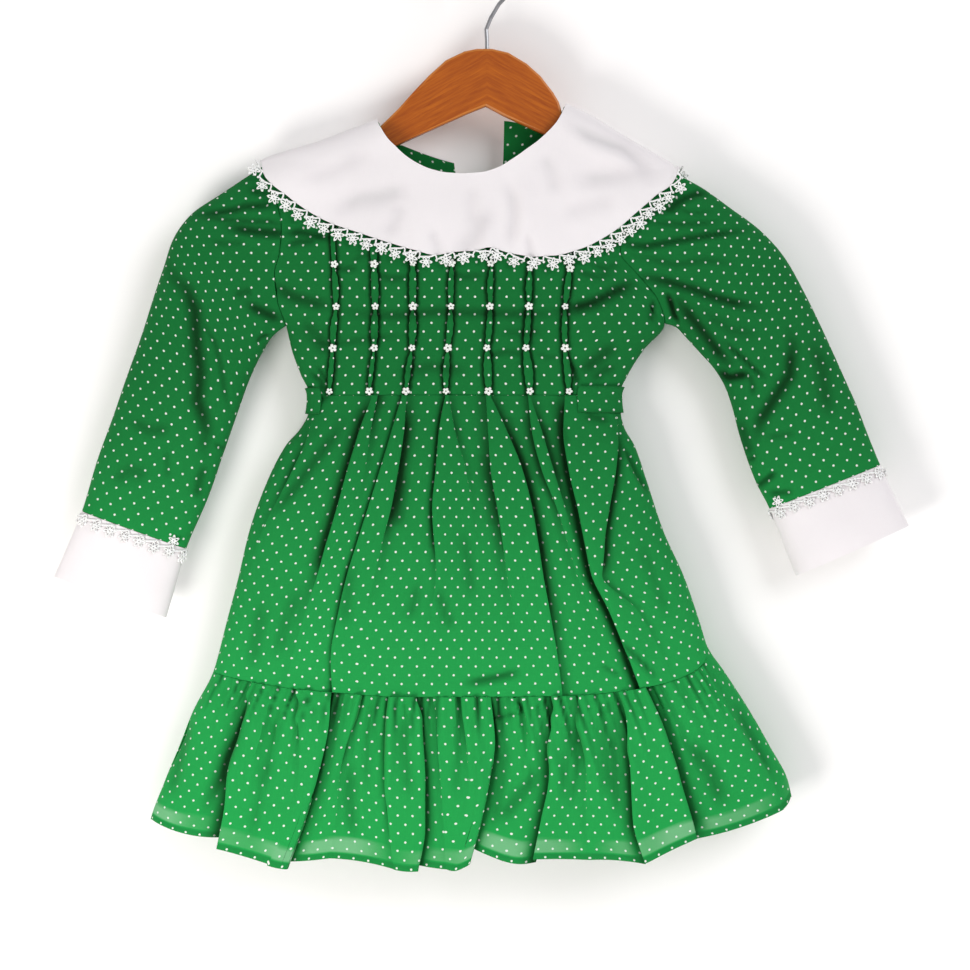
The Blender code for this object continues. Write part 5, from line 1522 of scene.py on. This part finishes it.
def flower_shape(petals, ring, petal, thread, around=9, section=5, drawn=(1.25, 0.65)):
    """One flower in its own plane: its rings of thread as points and faces."""
    base, faces = torus_points(petal, thread, around, section), torus_faces(around, section)
    points, made = [], []
    for n in range(petals):
        turn = 2 * math.pi * n / petals
        own = base * np.array([drawn[0], drawn[1], 1.0])
        spun = np.stack([
            own[:, 0] * math.cos(turn) - own[:, 1] * math.sin(turn),
            own[:, 0] * math.sin(turn) + own[:, 1] * math.cos(turn),
            own[:, 2],
        ], axis=-1)
        spun += np.array([ring * math.cos(turn), ring * math.sin(turn), 0.00012 * (-1) ** n])
        made += [tuple(v + len(points) * len(base) for v in face) for face in faces]
        points.append(spun)
    return np.concatenate(points), made


def join_shapes(name, shapes, material, slot, *nodes):
    """One object from many small closed shapes, each given as its points and faces."""
    total, faces = 0, []
    for points, own in shapes:
        faces += [tuple(v + total for v in face) for face in own]
        total += len(points)
    mesh = bpy.data.meshes.new(name)
    mesh.from_pydata(np.concatenate([p for p, _ in shapes]).tolist(), [], faces)
    mesh.validate()
    obj = bpy.data.objects.new(name, mesh)
    bpy.context.scene.collection.objects.link(obj)
    bpy.ops.object.select_all(action="DESELECT")
    obj.select_set(True)
    bpy.context.view_layer.objects.active = obj
    bpy.ops.object.mode_set(mode="EDIT")
    bpy.ops.mesh.select_all(action="SELECT")
    bpy.ops.mesh.normals_make_consistent(inside=False)
    bpy.ops.object.mode_set(mode="OBJECT")
    bpy.ops.object.shade_smooth_by_angle(angle=math.radians(70))
    return wear(obj, material, slot, *nodes)


def placed(shape, at, side, out, normal, spin=0.0, scale=1.0):
    points, faces = shape
    c, s = math.cos(spin), math.sin(spin)
    local = scale * (points @ np.array([[c, s, 0.0], [-s, c, 0.0], [0.0, 0.0, 1.0]]))
    return at + local[:, [0]] * side + local[:, [1]] * out + local[:, [2]] * normal, faces


def strand(path, radius, section=5):
    """A closed tube of thread through a path of points."""
    path = np.asarray(path)
    along = unit(np.gradient(path, axis=0))
    other = unit(np.cross(along, np.array([0.31, 0.87, 0.38])))
    third = np.cross(along, other)
    small = np.arange(section) * 2 * math.pi / section
    rings = path[:, None] + radius * (
        np.cos(small)[None, :, None] * other[:, None] + np.sin(small)[None, :, None] * third[:, None]
    )
    faces = []
    for i in range(len(path) - 1):
        for j in range(section):
            a, b = i * section + j, i * section + (j + 1) % section
            faces.append((a, b, b + section, a + section))
    faces.append(tuple(range(section))[::-1])
    faces.append(tuple((len(path) - 1) * section + j for j in range(section)))
    return rings.reshape(-1, 3), faces


# %% Collar lace
FLOWER = flower_shape(6, 0.0028, 0.00140, 0.00076)
PICOT = flower_shape(1, 0.0, 0.00062, 0.00050, 7, 5, (1.0, 1.0))
# part of the way from picot to picot, reach of the joining cord past the edge
CORD = (
    (0.00, 0.0033), (0.12, 0.0033), (0.30, 0.0026), (0.50, 0.0020), (0.68, 0.0013), (0.82, 0.0004), (0.90, 0.0004),
    (0.95, 0.0018), (1.00, 0.0033),
)


def collar_off_edge(a, reach, lift):
    """A point past the collar's outer edge by a reach, and the directions there."""
    a = np.asarray(a, dtype=float)
    one = np.ones_like(a)
    before = collar_flat(np.maximum(0.0, a - 0.05), one)
    after = collar_flat(np.minimum(LAST_RAY, a + 0.05), one)
    run = np.hypot(after[0] - before[0], after[1] - before[1])
    out = ((before[1] - after[1]) / run, (after[0] - before[0]) / run)
    x, high = collar_flat(a, one)
    point = drape(x + out[0] * reach, high + out[1] * reach)
    return point + collar_normal(a, one) * (collar_stand(a, one) + COLLAR_WALL + lift)[..., None]


def lace_row(place_at, total, pitch, flower, name, node, offset=0.0, turning=0.4, more=()):
    """A row of flowers on a wavy cord with a picot between each two. place_at(run, reach, lift) gives points."""
    count = max(1, int(round(total / pitch)))
    shapes = []
    for n in range(count):
        run = total * (n + 0.5) / count + offset
        reach = 0.0057 + 0.0005 * math.sin(9.1 * n)
        at = place_at(run, reach, 0.0006)
        side = unit(place_at(run + 0.0008, reach, 0.0006) - place_at(run - 0.0008, reach, 0.0006))
        out = unit(place_at(run, reach + 0.0008, 0.0006) - place_at(run, reach - 0.0008, 0.0006))
        normal = unit(np.cross(side, out))
        out = np.cross(normal, side)
        spin, scale = turning * math.sin(5.3 * n + 1.0), 1.0 + 0.07 * math.sin(3.7 * n)
        shapes.append(placed(flower, at, side, out, normal, spin, scale))
    part = np.arange(16 * count + 1) / 16
    mirrored = part > count / 2
    phase = np.where(mirrored, 1 - part % 1.0, part % 1.0)
    cord = [place_at(total * p / count, reach, 0.0004) for p, reach in zip(part, curve(CORD, phase))]
    shapes.append(strand(cord, 0.00068))
    for n in range(1, count):
        run = total * n / count
        at = place_at(run, 0.0044, 0.0005)
        side = unit(place_at(run + 0.0008, 0.0044, 0.0005) - at)
        out = unit(place_at(run, 0.0050, 0.0005) - at)
        normal = unit(np.cross(side, out))
        shapes.append(placed(PICOT, at, side, np.cross(normal, side), normal))
    return join_shapes(name, shapes + list(more), LACE, "crochet", node)


def make_collar_lace():
    fine = np.linspace(0.0, LAST_RAY, 1601)
    x, high = collar_flat(fine, np.ones_like(fine))
    runs = np.concatenate([[0.0], np.cumsum(np.hypot(np.diff(x), np.diff(high)))])

    def place_at(run, reach, lift):
        a = np.interp(np.clip(run, 0.0, runs[-1]), runs, fine)
        return collar_off_edge(np.array(a), reach, np.array(lift))

    return lace_row(place_at, float(runs[-1]), 0.0140, FLOWER, "collar_flowers", "collar_lace")


COLLAR_FLOWERS = make_collar_lace()
print("collar flowers:", len(COLLAR_FLOWERS.data.polygons), "faces")

# %% [markdown]
# ## Cuff lace
#
# Each cuff has the same trimming, laid down over the white from the sleeve seam. One flower at the
# inner end of each row has flipped up over the green, as in the photograph.

# %% Cuff lace


def sleeve_surface(right, u, turn, lift):
    step = 0.01

    def at(u, turn):
        return sleeve_points(right, np.asarray(u, dtype=float), np.asarray(turn, dtype=float))

    normal = unit(np.cross(at(u, turn + step) - at(u, turn - step), at(u + step, turn) - at(u - step, turn)))
    here = at(u, turn)
    middle = (at(u, math.pi / 2) + at(u, 3 * math.pi / 2)) / 2
    facing_out = np.sign(np.sum(normal * (here - middle), axis=-1, keepdims=True))
    return here + normal * facing_out * np.asarray(lift)[..., None]


def make_cuff_lace(right, side, flipped):
    cuff = 0.027 if right else 0.028
    turns = np.linspace(0.0, 2 * math.pi, 721)
    ring = sleeve_surface(right, np.full(721, 10.1), turns, np.zeros(721))
    runs = np.concatenate([[0.0], np.cumsum(np.linalg.norm(np.diff(ring, axis=0), axis=-1))])

    def place_at(run, reach, lift):
        turn = np.interp(run % runs[-1], runs, turns)
        return sleeve_surface(right, WRIST + (0.0006 + 0.92 * reach) / cuff, turn, np.array(lift + 0.0007))

    u, turn = np.meshgrid(np.linspace(9.5, 10.1, 61), np.linspace(1.6, 3.1, 151))
    places = sleeve_surface(right, u, turn, 0.0010 + 0.0 * u)
    at = places.reshape(-1, 3)[np.hypot(places[..., 0] - flipped[0], places[..., 2] - flipped[1]).argmin()]
    way = np.array([1.0, 0.0, 0.0])
    loose = placed(FLOWER, at, way, np.array([0.0, 0.0, 1.0]), np.array([0.0, -1.0, 0.0]), 0.4, 0.92)
    total = float(runs[-1])
    names = f"cuff_flowers_{side}", f"cuff_lace_{side}"
    return lace_row(place_at, total, 0.0124, FLOWER, *names, 0.003, 0.3, more=[loose])


CUFF_FLOWERS = [
    make_cuff_lace(False, "left", (-0.2494, -0.4700)),
    make_cuff_lace(True, "right", (0.2319, -0.4390)),
]
print("cuff flowers:", [len(o.data.polygons) for o in CUFF_FLOWERS], "faces")

# %% [markdown]
# ## Knots on the tucks
#
# A five-lobed knot of white floss holds each tuck at four heights. The knots under the collar's lace
# are there too, as on the real dress.

# %% Knots
# height of a row of knots, x of each tuck's knot
KNOTS = (
    (-0.2503, -0.1212, -0.0895, -0.0587, -0.0280, 0.0030, 0.0341, 0.0660),
    (-0.2839, -0.1198, -0.0887, -0.0587, -0.0286, 0.0023, 0.0333, 0.0620),
    (-0.3168, -0.1226, -0.0895, -0.0595, -0.0310, -0.0001, 0.0309, 0.0620),
    (-0.3511, -0.1254, -0.0935, -0.0643, -0.0326, 0.0011, 0.0341, 0.0652),
)
# how far each knot of the top row is off its row's height
TOP_KNOTS_OFF = (0.0, 0.0, 0.0008, 0.0008, 0.0008, -0.0032, -0.0032)


def surface_near(points, x, z):
    """The outermost grid point of a panel near a place."""
    gap = np.hypot(points[..., 0] - x, points[..., 2] - z)
    near = gap < 0.0022
    y = np.where(near, points[..., 1], 9.0)
    return float(y.min()) if near.any() else float(points[..., 1].ravel()[gap.argmin()])


def make_knots():
    bud = flower_shape(5, 0.0019, 0.00072, 0.00070, 7, 5, (1.1, 0.95))
    shapes = []
    places = [(x, KNOTS[0][0] + off) for x, off in zip(KNOTS[0][1:], TOP_KNOTS_OFF)]
    places += [(x, row[0]) for row in KNOTS[1:] for x in row[1:]]
    for n, (x, z) in enumerate(places):
        y = surface_near(BODICE_POINTS, x, z)
        at = np.array([x, y - 0.0004, z])
        tilt = 0.25 * math.sin(3.1 * n)
        normal = unit(np.array([0.0, -1.0, tilt]))
        side = np.array([1.0, 0.0, 0.0])
        shapes.append(placed(bud, at, side, np.cross(normal, side), normal, 1.3 * n, 0.95 + 0.12 * math.sin(2.3 * n)))
    return join_shapes("tuck_knots", shapes, FLOSS, "crochet")


TUCK_KNOTS = make_knots()
print("knots:", len(KNOTS) * 7, "with", len(TUCK_KNOTS.data.polygons), "faces")

# %% [markdown]
# ## Sashes
#
# A narrow tie is caught in the front waist seam on each side and runs round to the back. In front
# only its first few centimetres show, as a flat tab on the right and a dark wedge on the left.

# %% Sashes


def make_sash(name, side, first, heights, node):
    bend = np.linspace(0.0, math.pi / 2, 12)[1:]
    stops = np.concatenate([np.linspace(first, 0.97, 22), 1 - 0.03 * np.cos(bend) ** 2])
    behind = np.concatenate([1 - 0.03 * np.sin(bend) ** 2, np.linspace(0.96, 0.10, 60)])
    w = np.concatenate([stops, behind])
    is_front = np.concatenate([np.ones(len(stops), bool), np.zeros(len(behind), bool)])
    rows = 14
    t = np.linspace(0.0, 1.0, rows)[:, None]
    z = heights[0] + (heights[1] - heights[0]) * t + 0.0 * w[None, :]
    across = side * w[None, :] + 0.0 * t
    points = np.where(is_front[None, :, None], body(True, across, z), body(False, across, z))
    normals = facing(points)
    middle = np.array([x_at(0.0, WAIST), 0.0, 0.0])
    if np.mean(np.sum(normals * (points - middle) * np.array([1.0, 1.0, 0.0]), axis=-1)) < 0:
        points, normals = points[:, ::-1], -normals[:, ::-1]
    run = np.concatenate([[0.0], np.cumsum(np.linalg.norm(np.diff(points[0], axis=0), axis=-1))])
    roll = 0.0004 * np.sin(140 * run)[None, :] * np.sin(math.pi * t)
    points = points + normals * (0.0024 + roll)[..., None]
    uv = np.stack([run[None, :] + 0.0 * t, z], axis=-1)
    # Painted shade darkens both long edges of the tie.
    hem = 0.5 * (bell((t - 0.03) / 0.04) + bell((t - 0.97) / 0.04)) * np.ones_like(z)
    obj = lay_out(name, points, uv, painted_shade=np.clip(hem, 0, 1), thick=0.0009)
    return wear(obj, GREEN, "green_cotton", node)


SASHES = [
    make_sash("sash_left_cloth", -1.0, 0.915, (-0.3475, -0.3690), "sash_left"),
    make_sash("sash_right_cloth", 1.0, 0.722, (-0.3465, -0.3680), "sash_right"),
]
print("sashes:", [len(o.data.polygons) for o in SASHES], "faces")

# %% [markdown]
# ## Buttons
#
# Three small off-white buttons close the back. Each is a turned disc with a raised rim, held by two
# stitches of thread.

# %% Buttons


def plastic(name, colour):
    material, tree, place = blank(name)
    drift = noise(tree, place, 240.0, Detail=2.0, Distortion=1.5)
    tone = blend(tree, drift, rgba(colour), rgba(colour, 0.86))
    skin = put(tree, "ShaderNodeBsdfPrincipled", Base_Color=tone, Roughness=0.22, Coat_Weight=0.4, Coat_Roughness=0.1)
    surface(tree, skin)
    return material


BUTTON = plastic("Off-white button", (0.80, 0.78, 0.72))


def turned(profile, around):
    """Points and faces of a solid turned from a closed profile of radius and height, both ends on the axis."""
    turn = np.arange(around) * 2 * math.pi / around
    points = [np.array([[0.0, 0.0, profile[0][1]]])]
    for r, h in profile[1:-1]:
        points.append(np.stack([r * np.cos(turn), r * np.sin(turn), np.full(around, h)], axis=-1))
    points.append(np.array([[0.0, 0.0, profile[-1][1]]]))
    rings, faces = len(profile) - 2, []
    last = 1 + rings * around
    for j in range(around):
        k = (j + 1) % around
        faces.append((0, 1 + j, 1 + k))
        for n in range(rings - 1):
            a, b = 1 + n * around, 1 + (n + 1) * around
            faces.append((a + j, b + j, b + k, a + k))
        faces.append((last, last - around + k, last - around + j))
    return np.concatenate(points), faces


# radius and height round a button's section
RIM = (
    (0.0, 0.0006), (0.0030, 0.0006), (0.0036, 0.0016), (0.0043, 0.0017), (0.0048, 0.0012), (0.0047, 0.0004),
    (0.0040, 0.0), (0.0, 0.0),
)


def make_button(name, z):
    x = float(curve(BACK_OPENING, z, 2)) + 0.0085
    y = float(body(False, w_at(x, z), z)[1])
    points, faces = turned(RIM, 40)
    at = np.array([x, y + 0.0008, z])
    shapes = [(at + points @ np.array([[1.0, 0, 0], [0, 0, 1.0], [0, 1.0, 0]]), faces)]
    obj = join_shapes(name + "_disc", shapes, BUTTON, "button", name)
    return obj, at


BUTTON_HEIGHTS = {"button_top": -0.230, "button_middle": -0.278, "button_low": -0.326}
BUTTONS = [make_button(name, z) for name, z in BUTTON_HEIGHTS.items()]


def make_button_threads():
    shapes = []
    for _, at in BUTTONS:
        for side in (-0.0011, 0.0011):
            t = np.linspace(0, math.pi, 7)
            arch = np.stack([side + 0.0006 * np.cos(t), 0.0007 + 0.0005 * np.sin(t), 0.0 * t], axis=-1)
            shapes.append(strand(at + arch, 0.0003))
    return join_shapes("button_threads", shapes, FLOSS, "crochet")


BUTTON_THREADS = make_button_threads()
print("buttons:", len(BUTTONS))

# %% [markdown]
# ## Hanger
#
# The hanger is beech with orange-brown varnish. Its front face has a chamfered strip along each arm,
# and faces turned partly away from straight front are coloured paler. The wood keeps its own solid,
# because its shape is right, and only gets a material. Grain runs along each arm.

# %% Wood and steel


WOOD_DARK, WOOD_LIGHT = (0.27, 0.050, 0.002), (0.43, 0.105, 0.005)
WOOD_SPECK, WOOD_EDGE = (0.16, 0.045, 0.012), (0.58, 0.22, 0.045)


def varnished_wood(name):
    material, tree, place = blank(name)
    x, y, z = put(tree, "ShaderNodeSeparateXYZ", Vector=place).outputs
    slope = sums(tree, "MULTIPLY", sums(tree, "ABSOLUTE", x), 0.55)
    along = sums(tree, "SUBTRACT", sums(tree, "ABSOLUTE", x), sums(tree, "MULTIPLY", z, 0.5))
    off = sums(tree, "ADD", z, slope)
    drawn = [sums(tree, "MULTIPLY", *pair) for pair in ((along, 26.0), (y, 240.0), (off, 420.0))]
    laid = put(tree, "ShaderNodeCombineXYZ", X=drawn[0], Y=drawn[1], Z=drawn[2]).outputs[0]
    streak = noise(tree, laid, 1.0, Detail=5.0, Roughness=0.65, Distortion=0.35)
    fleck = noise(tree, laid, 5.0, Detail=2.0)
    grain = put(tree, "ShaderNodeMapRange", Value=streak, _1=0.32, _2=0.68).outputs[0]
    tone = blend(tree, grain, rgba(WOOD_DARK), rgba(WOOD_LIGHT))
    speck = put(tree, "ShaderNodeMapRange", Value=fleck, _1=0.66, _2=0.74).outputs[0]
    tone = blend(tree, sums(tree, "MULTIPLY", speck, 0.35), tone, rgba(WOOD_SPECK))
    normal = tree.nodes.new("ShaderNodeNewGeometry").outputs["True Normal"]
    faces_front = put(tree, "ShaderNodeSeparateXYZ", Vector=normal).outputs[1]
    past, short = sums(tree, "LESS_THAN", faces_front, -0.2), sums(tree, "GREATER_THAN", faces_front, -0.95)
    tone = blend(tree, sums(tree, "MULTIPLY", sums(tree, "MULTIPLY", past, short), 0.55), tone, rgba(WOOD_EDGE))
    relief = put(tree, "ShaderNodeBump", Strength=0.12, Distance=0.0003, Height=streak)
    skin = put(
        tree, "ShaderNodeBsdfPrincipled", Base_Color=tone, Roughness=0.42, Normal=relief.outputs[0],
        Specular_IOR_Level=0.22, Coat_Weight=0.10, Coat_Roughness=0.25,
    )
    surface(tree, skin)
    return material


def steel_wire(name):
    material, tree, place = blank(name)
    drawn = put(tree, "ShaderNodeVectorMath", {"operation": "MULTIPLY"}, _0=place, _1=(900.0, 900.0, 60.0)).outputs[0]
    scratch = noise(tree, drawn, 1.0, Detail=2.0)
    tone = blend(tree, scratch, rgba((0.20, 0.20, 0.21)), rgba((0.42, 0.42, 0.43)))
    rough = put(tree, "ShaderNodeMapRange", Value=scratch, _3=0.28, _4=0.50).outputs[0]
    skin = put(tree, "ShaderNodeBsdfPrincipled", Base_Color=tone, Metallic=1.0, Roughness=rough)
    surface(tree, skin)
    return material


VARNISH = varnished_wood("Orange-brown varnished beech")
STEEL = steel_wire("Drawn steel wire")

# %% Hanger
WOOD_NODE = bpy.data.objects["hanger_wood"]
HOOK_NODE = bpy.data.objects["hanger_hook"]
for node, material in ((WOOD_NODE, VARNISH), (HOOK_NODE, STEEL)):
    for n in range(max(1, len(node.material_slots))):
        if node.material_slots:
            node.material_slots[n].material = material
        else:
            node.data.materials.append(material)
print("hanger:", [len(n.data.polygons) for n in (WOOD_NODE, HOOK_NODE)], "faces")

# %% [markdown]
# ## Wall, floor and light
#
# The dress hangs just in front of a pale wall. A big soft lamp stands low on the left, in front, and
# a weaker one fills from the upper right, so shadows on the wall fall up and to the right. The wall lets
# a camera behind it see through, and lamps shine through it, so the back of the dress can be looked at.

# %% Stage


def pale_wall(name, colour, see_through):
    material, tree, place = blank(name)
    patch = use(tree, MOTTLE, Place=place, Size=3.0).outputs["Patch"]
    grain = noise(tree, place, 500.0, Detail=2.0)
    tone = blend(tree, sums(tree, "MULTIPLY", patch, 0.25), rgba(colour), rgba(colour, 0.96))
    relief = put(tree, "ShaderNodeBump", Strength=0.05, Distance=0.0004, Height=grain)
    skin = put(
        tree, "ShaderNodeBsdfPrincipled",
        Base_Color=tone, Roughness=0.9, Specular_IOR_Level=0.1, Normal=relief.outputs[0],
    )
    if see_through:
        clear = put(tree, "ShaderNodeBsdfTransparent").outputs[0]
        behind = put(tree, "ShaderNodeNewGeometry").outputs["Backfacing"]
        to_lamp = put(tree, "ShaderNodeLightPath").outputs["Is Shadow Ray"]
        open_way = sums(tree, "MAXIMUM", behind, to_lamp)
        skin = put(tree, "ShaderNodeMixShader", _0=open_way, _1=skin.outputs[0], _2=clear)
    surface(tree, skin)
    return material


def plain_panel(name, corners, material):
    mesh = bpy.data.meshes.new(name)
    mesh.from_pydata(corners, [], [(0, 1, 2, 3)])
    obj = bpy.data.objects.new(name, mesh)
    bpy.context.scene.collection.objects.link(obj)
    mesh.materials.append(material)


WALL_Y, FLOOR_Z, ROOM, WALL_TOP = 0.032, -1.70, 4.0, 2.5
plain_panel(
    "wall", [(-ROOM, WALL_Y, FLOOR_Z), (ROOM, WALL_Y, FLOOR_Z), (ROOM, WALL_Y, WALL_TOP), (-ROOM, WALL_Y, WALL_TOP)],
    pale_wall("Pale wall", (0.93, 0.915, 0.90), True),
)
plain_panel(
    "floor", [(-ROOM, -ROOM, FLOOR_Z), (ROOM, -ROOM, FLOOR_Z), (ROOM, WALL_Y, FLOOR_Z), (-ROOM, WALL_Y, FLOOR_Z)],
    pale_wall("Pale floor", (0.74, 0.73, 0.74), False),
)

# %% Light and camera


def soft_lamp(name, at, look_at, size, power, colour):
    lamp = bpy.data.lights.new(name, "AREA")
    lamp.shape, lamp.size, lamp.energy, lamp.color = "DISK", size, power, colour
    obj = bpy.data.objects.new(name, lamp)
    obj.location = at
    obj.rotation_euler = (Vector(look_at) - Vector(at)).to_track_quat("-Z", "Y").to_euler()
    bpy.context.scene.collection.objects.link(obj)
    return obj


MIDDLE = (0.0, 0.0, -0.42)
# name, place, size in metres, power in watts, colour
LAMPS = (
    ("key", (-0.80, -1.05, -1.15), 0.60, 13.0, (1.0, 0.985, 0.96)),
    ("fill", (1.8, -2.2, 0.9), 1.8, 40.0, (0.95, 0.97, 1.0)),
    ("behind", (0.8, 2.4, 0.6), 1.6, 22.0, (1.0, 1.0, 1.0)),
)
for name, at, size, power, colour in LAMPS:
    soft_lamp(name, at, MIDDLE, size, power, colour)

world = bpy.data.worlds.new("Pale room")
world.use_nodes = True
world.node_tree.nodes["Background"].inputs["Color"].default_value = (0.82, 0.81, 0.82, 1.0)
world.node_tree.nodes["Background"].inputs["Strength"].default_value = 0.74
bpy.context.scene.world = world

CAMERA_AWAY, VIEW_WIDTH = 2.6, 0.776
lens = bpy.data.cameras.new("Photograph")
lens.sensor_width = 36.0
lens.angle = 2 * math.atan(VIEW_WIDTH / 2 / CAMERA_AWAY)
camera = bpy.data.objects.new("Photograph", lens)
camera.location = (-0.0016, -CAMERA_AWAY, -0.4256)
camera.rotation_euler = (math.radians(90), 0.0, 0.0)
bpy.context.scene.collection.objects.link(camera)
bpy.context.scene.camera = camera
bpy.context.scene.view_settings.view_transform = "Standard"

# %% [markdown]
# ## What each cloth was before it hung
#
# Every sheet is listed with the flat cloth it was cut from. The measured area shows how much of that
# cloth is in the piece.

# %% Sheets


def cloth_area(obj):
    faces = np.empty(len(obj.data.polygons))
    obj.data.polygons.foreach_get("area", faces)
    return float(faces.sum()) / 2


SHEETS = (
    (BODICE_FRONT, (0.310, 0.190), "hung", 0.055),
    (BODICE_BACKS[0], (0.160, 0.190), "hung", 0.0285),
    (BODICE_BACKS[1], (0.140, 0.190), "hung", 0.0255),
    (SKIRT_FRONT, (0.440, 0.250), "gathered", 0.090),
    (SKIRT_BACK, (0.420, 0.240), "gathered", 0.080),
    (RUFFLE_FRONT, (0.720, 0.145), "gathered", 0.090),
    (RUFFLE_BACK, (0.640, 0.140), "gathered", 0.080),
    (SLEEVES[0], (0.310, 0.300), "hung", 0.064),
    (SLEEVES[1], (0.300, 0.270), "hung", 0.062),
    (CUFFS[0], (0.220, 0.060), "hung", 0.0125),
    (CUFFS[1], (0.220, 0.060), "hung", 0.0125),
    (COLLAR_CLOTH, (0.480, 0.300), "laid", 0.050),
    (SASHES[0], (0.175, 0.0215), "laid", None),
    (SASHES[1], (0.200, 0.0215), "laid", None),
)
for obj, flat, held, area in SHEETS:
    print(f"{obj.name}: {cloth_area(obj):.4f} m2 of {area or flat[0] * flat[1]:.4f}")
